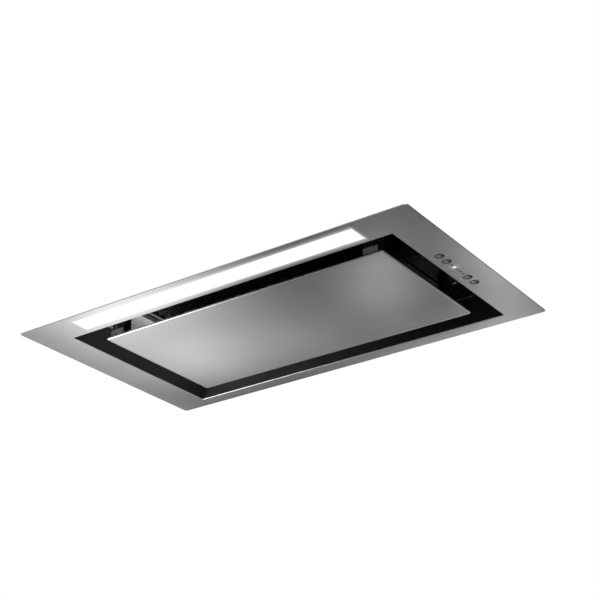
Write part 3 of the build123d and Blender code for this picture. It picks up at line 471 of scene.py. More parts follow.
def moulding(name, colour, roughness=0.45):
    """Moulded plastic with a fine spark-eroded grain."""
    material, tree, shader = new_finish(name)
    vector = place(tree)
    fine = noise(tree, vector, 900.0, detail=2.0)
    cloud = noise(tree, vector, 14.0, detail=2.0)
    tint(tree, shader, spread(tree, cloud, 0.0, 1.0), shade(colour, 0.9), shade(colour, 1.15))
    roughen(tree, shader, fine, roughness - 0.06, roughness + 0.08)
    relief(tree, shader, fine, 0.18, 0.0001)
    return material


def powder_coat(name, colour):
    """Powder coat with orange peel."""
    material, tree, shader = new_finish(name)
    vector = place(tree)
    peel = noise(tree, vector, 420.0, detail=1.0)
    cloud = noise(tree, vector, 30.0)
    tint(tree, shader, spread(tree, cloud, 0.0, 1.0), shade(colour, 0.9), shade(colour, 1.2))
    roughen(tree, shader, cloud, 0.36, 0.46)
    relief(tree, shader, peel, 0.25)
    return material


def lit_cover(name, level):
    """Opal cover with the light behind it: dim at its edges, a little brighter over each diode."""
    material, tree, shader = new_finish(name)
    x, inside_x, inside_y = inside_strip(tree)
    edge_reach, edge_dimming, between_diodes = 0.002, 0.65, 0.98
    near = larger(tree, smaller(tree, inside_x, inside_y), 0.0)
    edge = fading(tree, near, edge_reach)
    # Dark joint round the lit part
    seam_y = spread(tree, inside_y, 0.0, 1.0, 0.0004, 0.0009)
    seam_x = spread(tree, inside_x, 0.0, 1.0, 0.0, 0.0005)
    inner = minus(tree, 1.0, times(tree, edge, edge_dimming))
    dim = times(tree, times(tree, seam_x, seam_y), inner)
    # Past the lit part's ends the distance is negative, and so is the reach that goes with it
    beyond = fading(tree, smaller(tree, inside_x, 0.0), -SPILL_REACH / 2)
    weaker_left = spread(tree, x, 0.0, 0.4, -0.2, 0.2)
    dim = larger(tree, dim, times(tree, beyond, weaker_left))
    diodes = reckon(tree, "SINE", times(tree, x, 2 * math.pi / DIODE_PITCH))
    strength = times(tree, dim, spread(tree, diodes, between_diodes * level, level, -1.0, 1.0))
    shader.inputs["Base Color"].default_value = (0.93, 0.93, 0.91, 1.0)
    shader.inputs["Roughness"].default_value = 0.3
    shader.inputs["Emission Color"].default_value = (1.0, 0.995, 0.985, 1.0)
    tree.links.new(strength, shader.inputs["Emission Strength"])
    return material


def light_pipe(name):
    """Clear pegs, of which one is lit."""
    material, tree, shader = new_finish(name)
    off = reckon(tree, "ABSOLUTE", minus(tree, along(tree, "Y"), LIT_PEG_Y * MM))
    level, bright_until, dark_from = 1.6, 0.0008, 0.002
    lit = spread(tree, off, level, 0.0, bright_until, dark_from)
    tree.links.new(lit, shader.inputs["Emission Strength"])
    shader.inputs["Emission Color"].default_value = WHITE
    shader.inputs["Base Color"].default_value = (0.012, 0.012, 0.013, 1.0)
    shader.inputs["Roughness"].default_value = 0.2
    return material


def painted_shade_inside(material, share, faces_below=False):
    """Paints shade into a finish: darker towards the hood's right end, standing in for the little
    light that comes in past the panel.
    """
    tree, shader = opened(material)
    colour = shader.inputs["Base Color"].links[0].from_socket
    light_until, dark_from = -0.12, 0.16
    dim = spread(tree, along(tree, "X"), 0.0, share, light_until, dark_from)
    if faces_below:
        dim = times(tree, dim, looks_down(tree))
    # Painted shade: the finish's colour mixed towards black
    node = tree.nodes.new("ShaderNodeMix")
    node.data_type = "RGBA"
    node.inputs["B"].default_value = BLACK
    tree.links.new(colour, node.inputs["A"])
    tree.links.new(dim, node.inputs["Factor"])
    tree.links.new(node.outputs["Result"], shader.inputs["Base Color"])
    return material


def painted_light_under_deck(material):
    """Paints a glow on the deck's underside at the left, standing in for the light that comes in
    through the left slot.
    """
    tree, shader = opened(material)
    level, lit_until, dark_from = 0.13, -0.19, -0.08
    near = spread(tree, along(tree, "X"), level, 0.0, lit_until, dark_from)
    shader.inputs["Emission Color"].default_value = WHITE
    tree.links.new(times(tree, near, looks_down(tree)), shader.inputs["Emission Strength"])


def button_satin_painted_shade(name, centre):
    """Satin metal with painted shade: darker at the front right, standing in for the rim's edge
    shading a button's face.
    """
    material, tree, shader = new_finish(name)
    fine = noise(tree, place(tree), 700.0)
    painted_lit_spot = (centre[0] - 3.0, centre[1] + 2.1, 0.0)
    bright_until, dark_from, wander = 0.4, 6.8, 0.2
    away = distance_from(tree, painted_lit_spot, (1 / MM, 1 / MM, 0.0))
    shaded = plus(tree, away, spread(tree, fine, -wander, wander))
    share = spread(tree, shaded, 0.0, 1.0, bright_until, dark_from)
    # Painted shade: the satin tone at the lit spot, near black towards the front right
    tint(tree, shader, share, (0.62, 0.62, 0.615), (0.004, 0.004, 0.004))
    shader.inputs["Roughness"].default_value = 0.36
    shader.inputs["Metallic"].default_value = 1.0
    return material


def circuit_board(name):
    """Green lacquered board with its copper tracks showing through."""
    material, tree, shader = new_finish(name)
    tracks = tree.nodes.new("ShaderNodeTexBrick")
    tracks.inputs["Scale"].default_value = 260.0
    tracks.inputs["Mortar Size"].default_value = 0.03
    tracks.inputs["Color1"].default_value = (0.015, 0.11, 0.035, 1.0)
    tracks.inputs["Color2"].default_value = (0.02, 0.14, 0.05, 1.0)
    tracks.inputs["Mortar"].default_value = (0.05, 0.22, 0.09, 1.0)
    tree.links.new(place(tree), tracks.inputs["Vector"])
    tree.links.new(tracks.outputs["Color"], shader.inputs["Base Color"])
    shader.inputs["Roughness"].default_value = 0.25
    return material


def laminations(name):
    """Stack of thin varnished steel sheets across the shaft."""
    material, tree, shader = new_finish(name)
    wave = tree.nodes.new("ShaderNodeTexWave")
    wave.inputs["Scale"].default_value = 320.0
    tree.links.new(place(tree), wave.inputs["Vector"])
    tint(tree, shader, wave.outputs["Fac"], (0.09, 0.085, 0.08), (0.2, 0.19, 0.18))
    shader.inputs["Metallic"].default_value = 0.7
    shader.inputs["Roughness"].default_value = 0.45
    relief(tree, shader, wave.outputs["Fac"], 0.3)
    return material


# Pieces: small helpers for meshes, in millimetres


def paint(piece, material):
    """Gives a piece one finish."""
    piece.data.materials.clear()
    piece.data.materials.append(material)


def paint_slot(slot, material):
    """Gives every solid whose record names a material slot one finish."""
    rows = [row for row in frame["record"]["subparts"] if row["material_slot"] == slot]
    if not rows:
        raise RuntimeError(f"no solid has the material slot {slot}")
    for row in rows:
        paint(frame["nodes"][row["node"]], material)


def add_bevel(node, name, width, segments):
    """Welds a solid's mesh and gives it a bevel, for edges that the caller picks."""
    weld = node.modifiers.new("weld", "WELD")
    weld.merge_threshold = 1e-6
    bevel = node.modifiers.new(name, "BEVEL")
    bevel.width = width
    bevel.segments = segments
    bevel.harden_normals = True
    return bevel


def break_edges(names, width):
    """Rounds the sharp edges of solids a little, so that they catch light."""
    for name in names:
        bevel = add_bevel(frame["nodes"][name], "edges", width, 2)
        bevel.limit_method = "ANGLE"
        bevel.angle_limit = math.radians(50)


class Shape:
    """Points in millimetres, and faces, collected from loops."""

    def __init__(self):
        self.points = []
        self.faces = []

    def loop(self, points):
        """Adds a closed loop of points and returns its indices."""
        first = len(self.points)
        self.points.extend(points)
        return list(range(first, len(self.points)))

    def bridge(self, a, b):
        """Joins two loops of the same length with quads."""
        count = len(a)
        for i in range(count):
            j = (i + 1) % count
            self.faces.append((a[i], a[j], b[j], b[i]))

    def skin(self, loops, close_first=False, close_last=False, ring=False):
        """Joins loops one after the other."""
        made = [self.loop(points) for points in loops]
        for a, b in zip(made, made[1:]):
            self.bridge(a, b)
        if ring:
            self.bridge(made[-1], made[0])
        if close_first:
            self.faces.append(tuple(made[0]))
        if close_last:
            self.faces.append(tuple(made[-1]))


def mesh_of(name, shape):
    """A mesh from a shape."""
    mesh = bpy.data.meshes.new(name)
    mesh.from_pydata([tuple(p * MM) for p in shape.points], [], shape.faces)
    return mesh


def add_object(name, data):
    """A new object in the scene."""
    thing = bpy.data.objects.new(name, data)
    bpy.context.scene.collection.objects.link(thing)
    return thing


def make_piece(name, shape, body, material):
    """A new piece that rides on a body, smooth except where it turns by over 40 degrees."""
    mesh = mesh_of(name, shape)
    mesh.validate()
    tidy = bmesh.new()
    tidy.from_mesh(mesh)
    bmesh.ops.remove_doubles(tidy, verts=tidy.verts, dist=1e-7)
    bmesh.ops.recalc_face_normals(tidy, faces=tidy.faces)
    tidy.to_mesh(mesh)
    tidy.free()
    mesh.shade_smooth()
    mesh.set_sharp_from_angle(angle=math.radians(40))
    piece = add_object(name, mesh)
    paint(piece, material)
    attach(piece, body)
    return piece


def rounded_rectangle(half_x, half_y, radius, z, centre=(0.0, 0.0), steps=8):
    """One loop: a rectangle with round corners."""
    points = []
    for corner_x, corner_y, start in ((1, 1, 0), (-1, 1, 90), (-1, -1, 180), (1, -1, 270)):
        for i in range(steps + 1):
            angle = math.radians(start + 90.0 * i / steps)
            x = centre[0] + corner_x * (half_x - radius) + radius * math.cos(angle)
            y = centre[1] + corner_y * (half_y - radius) + radius * math.sin(angle)
            points.append(Vector((x, y, z)))
    return points


def turned(radius, height, count, centre=(0.0, 0.0), axis_y=False):
    """One loop of a turned shape: its radius is one number, or a function of the angle."""
    points = []
    for i in range(count):
        angle = 2 * math.pi * i / count
        reach = radius(angle) if callable(radius) else radius
        across, up = reach * math.cos(angle), reach * math.sin(angle)
        if axis_y:
            points.append(Vector((centre[0] + across, height, centre[1] - up)))
        else:
            points.append(Vector((centre[0] + across, centre[1] + up, height)))
    return points


def hexagon(reach, circle=math.inf):
    """Radius of a hexagon by angle, where a circle may cut off its corners."""

    def radius(angle):
        local = (angle + math.pi / 6) % (math.pi / 3) - math.pi / 6
        return min(reach * math.cos(math.pi / 6) / math.cos(local), circle)

    return radius


def cross_recess(half_width, half_length):
    """Radius of a cross recess by angle."""

    def radius(angle):
        local = angle % (math.pi / 2)
        local = min(local, math.pi / 2 - local)
        if local < math.atan2(half_width, half_length):
            return half_length / math.cos(local)
        return half_width / math.sin(local)

    return radius


def ribbed(outside, depth):
    """Radius of the gland's nut by angle, with grooves round it."""

    def radius(angle):
        return outside - depth * (0.5 - 0.5 * math.cos(GLAND_GROOVES * angle)) ** 3

    return radius


def screw_head(shape, seat, reach, height, pan_head=False):
    """Adds a screw head to its seat: a flanged hexagon or a pan head, with a cross recess."""
    if pan_head:
        outline = [
            (reach, 0.0),
            (reach, 0.35 * height),
            (0.93 * reach, 0.7 * height),
            (0.7 * reach, height),
        ]
    else:
        flange = reach * 1.12
        outline = [
            (flange, 0.0),
            (flange, 0.25 * height),
            (hexagon(reach), 0.35 * height),
            (hexagon(reach), 0.88 * height),
            (hexagon(reach, 0.86 * reach), height),
        ]
    for share, level in ((1.0, height), (0.9, 0.45 * height)):
        outline.append((cross_recess(0.11 * share * reach, 0.5 * share * reach), level))
    loops = [[seat @ point for point in turned(radius, z, ROUND_POINTS)] for radius, z in outline]
    shape.skin(loops, close_first=True, close_last=True)


# Operators: one for each piece or group of like pieces


class HOOD_OT_sheet_metal(bpy.types.Operator):
    """Finishes the rim, the galvanised body and the filter's frame"""

    bl_idname = "hood.sheet_metal"
    bl_label = "Sheet metal"

    def execute(self, context):
        colours = context.scene.hood_colours
        rim = brushed_steel("stainless_rim_painted_glow", colours.stainless)
        # The rim's finish gets a painted glow beside the light strip and the lit peg
        painted_light_beside_strip(rim, colours.painted_spill_level)
        paint_slot("stainless", rim)
        paint_slot("zinc_sheet", zinc_sheet("zinc", colours.zinc))
        # The deck's underside gets painted shade towards the right and a painted glow of light at the
        # left
        deck = zinc_sheet("zinc_deck_painted_light_and_shade", colours.zinc)
        painted_shade_inside(deck, share=0.93, faces_below=True)
        painted_light_under_deck(deck)
        paint(frame["nodes"]["tray_deck"], deck)
        # The filter's frame gets painted shade towards the right end
        rolled = plated_steel("rolled_aluminium_painted_shade", (0.45, 0.45, 0.445), 0.34)
        paint_slot("filter_aluminium", painted_shade_inside(rolled, share=0.88))
        casing = ("tray_walls", "tray_deck", "upper_casing", "top_cover")
        inner_sheets = ("support_frame", "filter_frame", "capacitor_clip")
        break_edges(casing + inner_sheets, context.scene.hood_sizes.edge_round)
        self.round_opening(frame["nodes"]["rim_frame"])
        return {"FINISHED"}

    def round_opening(self, rim):
        """Rounds the lower edge of the rim's opening, where the sheet is drawn upwards."""
        near = 0.2
        chosen = []
        for vertex in rim.data.vertices:
            x, y, z = (rim.matrix_world @ vertex.co) / MM
            off = max(abs(x) - OPENING_HALF_WIDTH, abs(y - OPENING_Y) - OPENING_HALF_DEPTH)
            if abs(z - RIM_LOW) < near and abs(off) < near:
                chosen.append(vertex.index)
        if not chosen:
            raise RuntimeError("the rim's opening was not found")
        rim.vertex_groups.new(name="opening").add(chosen, 1.0, "REPLACE")
        bevel = add_bevel(rim, "drawn_edge", RIM_EDGE, 5)
        bevel.limit_method = "VGROUP"
        bevel.vertex_group = "opening"


class HOOD_OT_mouldings(bpy.types.Operator):
    """Finishes the black liner, the catches, the boxes, the blower housing and the outlet collar"""

    bl_idname = "hood.mouldings"
    bl_label = "Mouldings"

    def execute(self, context):
        colours = context.scene.hood_colours
        paint_slot("black_plastic", moulding("black_moulding", colours.black))
        # The liner gets painted shade towards the right end
        liner = moulding("liner_moulding_painted_shade", shade(colours.black, 2.0), 0.5)
        paint(frame["nodes"]["liner"], painted_shade_inside(liner, share=0.9))
        paint_slot("grey_plastic", moulding("grey_moulding", (0.085, 0.09, 0.095), 0.4))
        paint_slot("silicone", moulding("silicone", (0.5, 0.5, 0.49), 0.5))
        paint_slot("clear_plastic", light_pipe("light_pipe"))
        paint_slot("light_cover", lit_cover("lit_cover", colours.light_level))
        seen = ("liner", "catch_block_left", "catch_block_right")
        boxes = ("terminal_box", "terminal_lid", "control_box", "outlet_collar")
        break_edges(seen + boxes, context.scene.hood_sizes.edge_round)
        return {"FINISHED"}


class HOOD_OT_hardware(bpy.types.Operator):
    """Finishes the hinges, the springs, the motor and the electronics"""

    bl_idname = "hood.hardware"
    bl_label = "Hardware"

    def execute(self, context):
        paint_slot("bright_steel", plated_steel("plated_steel", (0.62, 0.62, 0.62)))
        paint_slot("black_steel", powder_coat("black_coat", (0.022, 0.022, 0.023)))
        paint_slot("motor_paint", powder_coat("motor_paint", (0.20, 0.21, 0.22)))
        paint_slot("core_steel", laminations("core_laminations"))
        paint_slot("board_green", circuit_board("green_board"))
        dull = plated_steel("striker_plate", (0.78, 0.78, 0.775), 0.42)
        opened(dull)[1].inputs["Metallic"].default_value = 0.35
        strikers = ("striker_left", "striker_right")
        for name in strikers:
            paint(frame["nodes"][name], dull)
        fine_edge = 0.0002
        break_edges(strikers + ("hinge_fork_left", "hinge_fork_right"), fine_edge)
        # Black coat on the pan and the hinge arms, which also serves as painted shade for the slots
        # beside the panel
        coat_and_slot_shade = powder_coat("inner_coat_and_slot_shade", (0.015, 0.015, 0.016))
        for name in ("panel_pan", "hinge_arm_left", "hinge_arm_right"):
            paint(frame["nodes"][name], coat_and_slot_shade)
        return {"FINISHED"}


class HOOD_OT_suction_panel(bpy.types.Operator):
    """Builds the stainless suction panel with its round folded edge"""

    bl_idname = "hood.suction_panel"
    bl_label = "Suction panel"

    def execute(self, context):
        thickness = context.scene.hood_sizes.panel_edge / MM
        sheet, lip, corner, least_corner = 0.8, 9.0, 3.5, 0.4
        outside, top = thickness / 2, RIM_LOW + thickness
        flat_start = outside + 1.2

        def fold(radius, start, turn, steps=10):
            """Half a turn round the folded edge, as distances from its outside and heights."""
            for i in range(steps + 1):
                angle = math.radians(start + turn * i / steps)
                yield outside + radius * math.cos(angle), RIM_LOW + outside + radius * math.sin(angle)

        profile = [
            (flat_start, RIM_LOW),
            *fold(outside, -90, -180),
            (lip, top),
            (lip, top - sheet),
            *fold(outside - sheet, 90, 180),
            (flat_start, RIM_LOW + sheet),
        ]
        loops = []
        for inset, z in profile:
            half_x, half_y = PANEL_HALF_WIDTH - inset, PANEL_HALF_DEPTH - inset
            radius = max(corner - inset, least_corner)
            loops.append(rounded_rectangle(half_x, half_y, radius, z, (0.0, OPENING_Y)))
        shape = Shape()
        shape.skin(loops, close_first=True, close_last=True)
        material = brushed_steel("stainless_panel", context.scene.hood_colours.stainless)
        panel = make_piece("suction_panel", shape, PANEL, material)
        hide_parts("panel_skin")
        return {"FINISHED"}


class HOOD_OT_filter_mesh(bpy.types.Operator):
    """Builds the grease filter's layers of ribbed expanded metal"""

    bl_idname = "hood.filter_mesh"
    bl_label = "Filter mesh"

    def execute(self, context):
        sizes = context.scene.hood_sizes
        # The mesh gets painted shade towards the right end
        material = plated_steel("mesh_aluminium_painted_shade", (0.42, 0.42, 0.415), 0.5)
        painted_shade_inside(material, share=0.85)
        lower, upper = 41.5, 45.2
        for number, (bottom, mirror) in enumerate(((lower, 1), (upper, -1)), start=1):
            shape = self.layer(sizes.mesh_pitch / MM, sizes.mesh_length / MM, bottom, mirror)
            name = f"filter_layer_{number}"
            mesh_piece = make_piece(name, shape, HOOD, material)
            thick = mesh_piece.modifiers.new("thickness", "SOLIDIFY")
            thick.thickness = 0.0004
            thick.offset = 0.0
            if number == 1:
                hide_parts("filter_mesh")
        return {"FINISHED"}

    def layer(self, pitch, length, bottom, mirror):
        """One layer: diamonds of strands, bent up and down in ribs that lean across the filter."""
        lean = math.atan(FILTER_RIB_SLOPE)
        wide, tall = pitch * math.cos(lean) / 2, length / 2
        strand, rib = 0.62, 2.2
        half_x, half_y, span = 182.0, 112.0, 230.0
        latch_x, latch_half_y = 145.0, 35.0
        hole_share = 1 - strand / wide * 0.5
        shape = Shape()
        index = {}

        def spot(i, j):
            x, y = i * wide, j * tall
            leaning_x = mirror * (x * math.cos(lean) - y * math.sin(lean))
            return leaning_x, x * math.sin(lean) + y * math.cos(lean)

        def corner(i, j):
            if (i, j) not in index:
                x, y = spot(i, j)
                index[i, j] = len(shape.points)
                shape.points.append(Vector((x, OPENING_Y + y, bottom + rib * (i % 2))))
            return index[i, j]

        def in_frame(x, y):
            by_latch = x > latch_x and abs(y) < latch_half_y
            return abs(x) <= half_x and abs(y) <= half_y and not by_latch

        columns, rows = int(span / wide), int(span / tall)
        for i in range(-columns, columns + 1):
            for j in range(-rows, rows + 1):
                if (i + j) % 2 or not in_frame(*spot(i, j)):
                    continue
                around = [corner(i + 1, j), corner(i, j + 1), corner(i - 1, j), corner(i, j - 1)]
                outer = [shape.points[k] for k in around]
                centre = sum(outer, Vector()) / 4
                inner = shape.loop([centre + (point - centre) * hole_share for point in outer])
                shape.bridge(around, inner)
        return shape


class HOOD_OT_buttons(bpy.types.Operator):
    """Builds the four push buttons with their dished, round-edged caps"""

    bl_idname = "hood.buttons"
    bl_label = "Buttons"

    def execute(self, context):
        dish = context.scene.hood_sizes.button_dish / MM
        face, dish_radius, cap_radius, steps = -0.4, 5.3, 6.1, 8
        flange = ((6.3, 0.4), (6.5, 0.6), (6.5, 1.4), (6.3, 1.6))
        stem = ((2.7, 1.6), (2.7, 8.3), (2.5, 8.5))
        profile = [
            (dish_radius * k / steps, face + dish * (1 - (k / steps) ** 2))
            for k in range(1, steps + 1)
        ]
        profile += [
            (cap_radius - 0.25, face + 0.04),
            (cap_radius - 0.05, face + 0.15),
            (cap_radius, face + 0.4),
            (cap_radius, 0.4),
        ]
        for number, offset in enumerate(BUTTON_OFFSETS, start=1):
            centre = (CONTROL_X, CONTROL_Y + offset)
            shape = Shape()
            loops = [turned(radius, z, ROUND_POINTS, centre) for radius, z in profile]
            shape.skin(loops, close_first=True, close_last=True)
            for outline in (flange, stem):
                loops = [rounded_rectangle(half, half, 0.5, z, centre, 2) for half, z in outline]
                shape.skin(loops, close_first=True, close_last=True)
            # Each cap's face gets painted shade towards its front right
            material = button_satin_painted_shade(f"button_satin_painted_shade_{number}", centre)
            body = f"button_{number}"
            cap = make_piece(f"button_cap_{number}", shape, body, material)
            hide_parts(f"button_{number}")
        return {"FINISHED"}


class HOOD_OT_fasteners(bpy.types.Operator):
    """Builds the screw heads of the casing, the cover, the collar and the hinges"""

    bl_idname = "hood.fasteners"
    bl_label = "Fasteners"

    def execute(self, context):
        heads = Shape()
        sheet_screw = (3.05, 2.15)
        pan_screw = (3.4, 2.0)
        for x, y in FLANGE_SCREWS:
            screw_head(heads, Matrix.Translation((x, y, FLANGE_TOP)), *sheet_screw)
        upside_down = Matrix.Scale(-1, 4, (0, 0, 1))
        for x, y in HINGE_SCREWS:
            seat = Matrix.Translation((x, y, DECK_BOTTOM)) @ upside_down
            screw_head(heads, seat, *pan_screw, pan_head=True)
        for x in (-SKIRT_SCREW_X, SKIRT_SCREW_X):
            for side in (-1, 1):
                turn_out = Matrix.Rotation(-side * math.pi / 2, 4, "X")
                spot = (x, OPENING_Y + side * SKIRT_HALF_DEPTH, SKIRT_SCREW_Z)
                screw_head(heads, Matrix.Translation(spot) @ turn_out, *sheet_screw)
        for x in (-COLLAR_SCREW_OFFSET, COLLAR_SCREW_OFFSET):
            for y in (COLLAR_Y - COLLAR_SCREW_OFFSET, COLLAR_Y + COLLAR_SCREW_OFFSET):
                screw_head(heads, Matrix.Translation((x, y, COLLAR_FLANGE_TOP)), *sheet_screw)
        material = plated_steel("screw_zinc", (0.66, 0.66, 0.65), 0.24)
        piece = make_piece("screw_heads", heads, HOOD, material)
        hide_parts("sheet_screws")
        return {"FINISHED"}


class HOOD_OT_cable_gland(bpy.types.Operator):
    """Builds the cable gland with its hexagon body, ribbed dome nut and sealing ring"""

    bl_idname = "hood.cable_gland"
    bl_label = "Cable gland"

    def execute(self, context):
        low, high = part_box("cable_gland")
        centre = ((low.x + high.x) / 2 / MM, (low.z + high.z) / 2 / MM)
        start, end = low.y / MM, high.y / MM
        seat = start + 6.0
        profile = (
            (4.0, start),
            (7.6, start),
            (7.9, start + 0.4),
            (7.9, seat),
            (hexagon(9.6), seat),
            (hexagon(10.0), seat + 0.5),
            (hexagon(10.0), seat + 4.5),
            (hexagon(9.6), seat + 5.0),
            (8.0, seat + 5.0),
            (8.2, seat + 5.4),
            (ribbed(8.2, 0.5), seat + 6.0),
            (ribbed(8.2, 0.5), seat + 10.5),
            (ribbed(7.7, 0.2), seat + 12.0),
            (6.6, seat + 13.4),
            (5.4, end),
            (4.6, end),
            (4.0, end - 0.6),
        )
        count = 8 * GLAND_GROOVES
        loops = [turned(radius, y, count, centre, axis_y=True) for radius, y in profile]
        shape = Shape()
        shape.skin(loops, ring=True)
        nylon = moulding("gland_nylon", (0.02, 0.02, 0.021), 0.38)
        gland = make_piece("cable_gland_nut", shape, HOOD, nylon)
        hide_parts("cable_gland")
        return {"FINISHED"}


# Stage: small helpers for its materials


def stage_material(name):
    """An empty node tree for a stage piece."""
    material = bpy.data.materials.new(name)
    material.use_nodes = True
    tree = material.node_tree
    tree.nodes.clear()
    return material, tree, tree.nodes.new("ShaderNodeOutputMaterial")


def camera_ray(tree):
    """One for what the camera sees straight, nought for reflections and the light on pieces."""
    return tree.nodes.new("ShaderNodeLightPath").outputs["Is Camera Ray"]


def show(tree, share, plain, glow, out):
    """Sends a shader to the output, mixed with a second one by a share."""
    node = tree.nodes.new("ShaderNodeMixShader")
    tree.links.new(share, node.inputs["Fac"])
    tree.links.new(plain.outputs[0], node.inputs[1])
    tree.links.new(glow.outputs[0], node.inputs[2])
    tree.links.new(node.outputs["Shader"], out.inputs["Surface"])


class HOOD_OT_stage(bpy.types.Operator):
    """Builds the camera, the room light, the cards, the floor, the cabinet's underside, the lamps"""

    bl_idname = "hood.stage"
    bl_label = "Stage"

    def execute(self, context):
        scene = context.scene
        stage = scene.hood_stage
        scene.view_settings.view_transform = "Standard"
        self.camera(scene, stage)
        self.room(scene, stage)
        self.reflectors()
        self.floor(stage)
        self.cabinet()
        self.lamps(stage)
        return {"FINISHED"}

    def camera(self, scene, stage):
        """The photograph's own view, from below the right front corner."""
        spot = (0.993408, -1.386848, -0.78439)
        turn, rise, roll = (math.radians(angle) for angle in (34.70245, 25.57795, -0.667687))
        forward = Vector(
            (-math.sin(turn) * math.cos(rise), math.cos(turn) * math.cos(rise), math.sin(rise))
        )
        level = Vector((math.cos(turn), math.sin(turn), 0.0))
        upright = level.cross(forward)
        right = math.cos(roll) * level + math.sin(roll) * upright
        up = -math.sin(roll) * level + math.cos(roll) * upright
        data = bpy.data.cameras.new("camera")
        data.lens = stage.lens
        data.sensor_width = 36.0
        data.clip_start = 0.05
        data.clip_end = 50.0
        camera = add_object("camera", data)
        facing = Matrix((right, up, -forward)).transposed().to_4x4()
        camera.matrix_world = Matrix.Translation(spot) @ facing
        scene.camera = camera

    def room(self, scene, stage):
        """Even light, brighter above, with a pale and a dark card; white where the camera sees it."""
        world = bpy.data.worlds.new("room")
        scene.world = world
        world.use_nodes = True
        tree = world.node_tree
        tree.nodes.clear()
        direction = tree.nodes.new("ShaderNodeTexCoord").outputs["Generated"]
        split = tree.nodes.new("ShaderNodeSeparateXYZ")
        tree.links.new(direction, split.inputs["Vector"])
        low, high, least = 0.27 * stage.sky, 1.5 * stage.sky, 0.03
        level = spread(tree, split.outputs["Z"], low, high, 0.05, 0.5)
        pale_card = ((0.3, -0.93, 0.1), 0.75, 0.99, 0.35)
        dark_card = ((0.53, 0.74, 0.42), 0.8, 0.96, -0.6)
        for aim, edge, middle, strength in (pale_card, dark_card):
            dot = tree.nodes.new("ShaderNodeVectorMath")
            dot.operation = "DOT_PRODUCT"
            tree.links.new(direction, dot.inputs[0])
            dot.inputs[1].default_value = Vector(aim).normalized()
            card = spread(tree, dot.outputs["Value"], 0.0, strength, edge, middle)
            level = plus(tree, level, card)
        light = tree.nodes.new("ShaderNodeBackground")
        tree.links.new(larger(tree, level, least), light.inputs["Strength"])
        white = tree.nodes.new("ShaderNodeBackground")
        white.inputs["Color"].default_value = WHITE
        out = tree.nodes.new("ShaderNodeOutputWorld")
        show(tree, camera_ray(tree), light, white, out)

    def reflectors(self):
        """Two soft cards low beside the hood, which only show as the sheen on its polished faces."""
        self.reflector(
            "reflector_back",
            (-0.263, 0.379, -0.211),
            (0.814, 0.581, 0.0),
            (0.526, -0.738, 0.423),
            (0.7, 0.35),
            (
                (-0.15, 0.11, 0.05, 0.035, 1.08),
                (-0.30, 0.17, -0.10, 0.100, 1.64),
                (-0.30, 0.07, -0.01, 0.035, 0.53),
                (0.15, 0.07, -0.07, 0.035, 0.60),
                (0.40, 0.17, 0.08, 0.035, 2.50),
                (0.00, 0.11, 0.02, 0.035, 0.46),
                (-0.40, 0.17, 0.17, 0.035, 2.50),
                (0.40, 0.11, -0.13, 0.035, 1.40),
                (0.17, 0.05, -0.105, 0.035, 0.40),
                (0.36, 0.05, -0.04, 0.035, 0.45),
                (0.08, 0.05, 0.030, 0.035, 0.08),
            ),
        )
        self.reflector(
            "reflector_front",
            (-0.42, -0.30, -0.37),
            (0.87, 0.0, -0.49),
            (0.35, 0.3, 0.62),
            (0.55, 0.5),
            ((-0.14, 0.19, 0.0, 0.24, 2.0),),
        )

    def reflector(self, name, centre, across, facing, half_size, patches):
        """One card of soft patches.

        A patch has its middle and width across the card, the same up the card, and its level.
        """
        facing = Vector(facing).normalized()
        upright = facing.cross(Vector(across)).normalized()
        across = upright.cross(facing)
        wide, high = half_size
        corners = [(-wide, -high, 0), (wide, -high, 0), (wide, high, 0), (-wide, high, 0)]
        mesh = bpy.data.meshes.new(name)
        mesh.from_pydata(corners, [], [(0, 1, 2, 3)])
        card = add_object(name, mesh)
        axes = Matrix((across, upright, facing)).transposed().to_4x4()
        card.matrix_world = Matrix.Translation(centre) @ axes
        card.visible_camera = False
        card.visible_diffuse = False
        card.visible_transmission = False
        card.visible_shadow = False
        material, tree, out = stage_material(name)
        s, v = along(tree, "X"), along(tree, "Y")

        def hump(value, middle, width):
            off = reckon(tree, "DIVIDE", minus(tree, value, middle), width)
            return fading(tree, times(tree, off, off), 1.0)

        total = 0.0
        for middle_s, width_s, middle_v, width_v, strength in patches:
            patch = times(tree, hump(s, middle_s, width_s), hump(v, middle_v, width_v))
            total = plus(tree, total, times(tree, patch, strength))
        clear = tree.nodes.new("ShaderNodeBsdfTransparent")
        glow = tree.nodes.new("ShaderNodeEmission")
        tree.links.new(total, glow.inputs["Strength"])
        both = tree.nodes.new("ShaderNodeAddShader")
        tree.links.new(clear.outputs["BSDF"], both.inputs[0])
        tree.links.new(glow.outputs["Emission"], both.inputs[1])
        tree.links.new(both.outputs["Shader"], out.inputs["Surface"])
        mesh.materials.append(material)

    def floor(self, stage):
        """Pale floor that fades to white at its edge."""
        drop = stage.floor_drop / MM
        loops = [turned(radius, drop, 2 * ROUND_POINTS) for radius in (1.0, 1000.0, 2200.0)]
        shape = Shape()
        shape.skin(loops, close_first=True)
        mesh = mesh_of("floor", shape)
        floor = add_object("floor", mesh)
        material, tree, out = stage_material("floor")
        diffuse = tree.nodes.new("ShaderNodeBsdfDiffuse")
        diffuse.inputs["Color"].default_value = (0.3, 0.3, 0.3, 1.0)
        glow = tree.nodes.new("ShaderNodeEmission")
        middle_share, fade_from, white_from = 0.9, 0.9, 2.1
        away = distance_from(tree, (0.0, 0.0, 0.0), (1.0, 1.0, 0.0))
        fade = spread(tree, away, middle_share, 1.0, fade_from, white_from)
        show(tree, times(tree, camera_ray(tree), fade), diffuse, glow, out)
        mesh.materials.append(material)

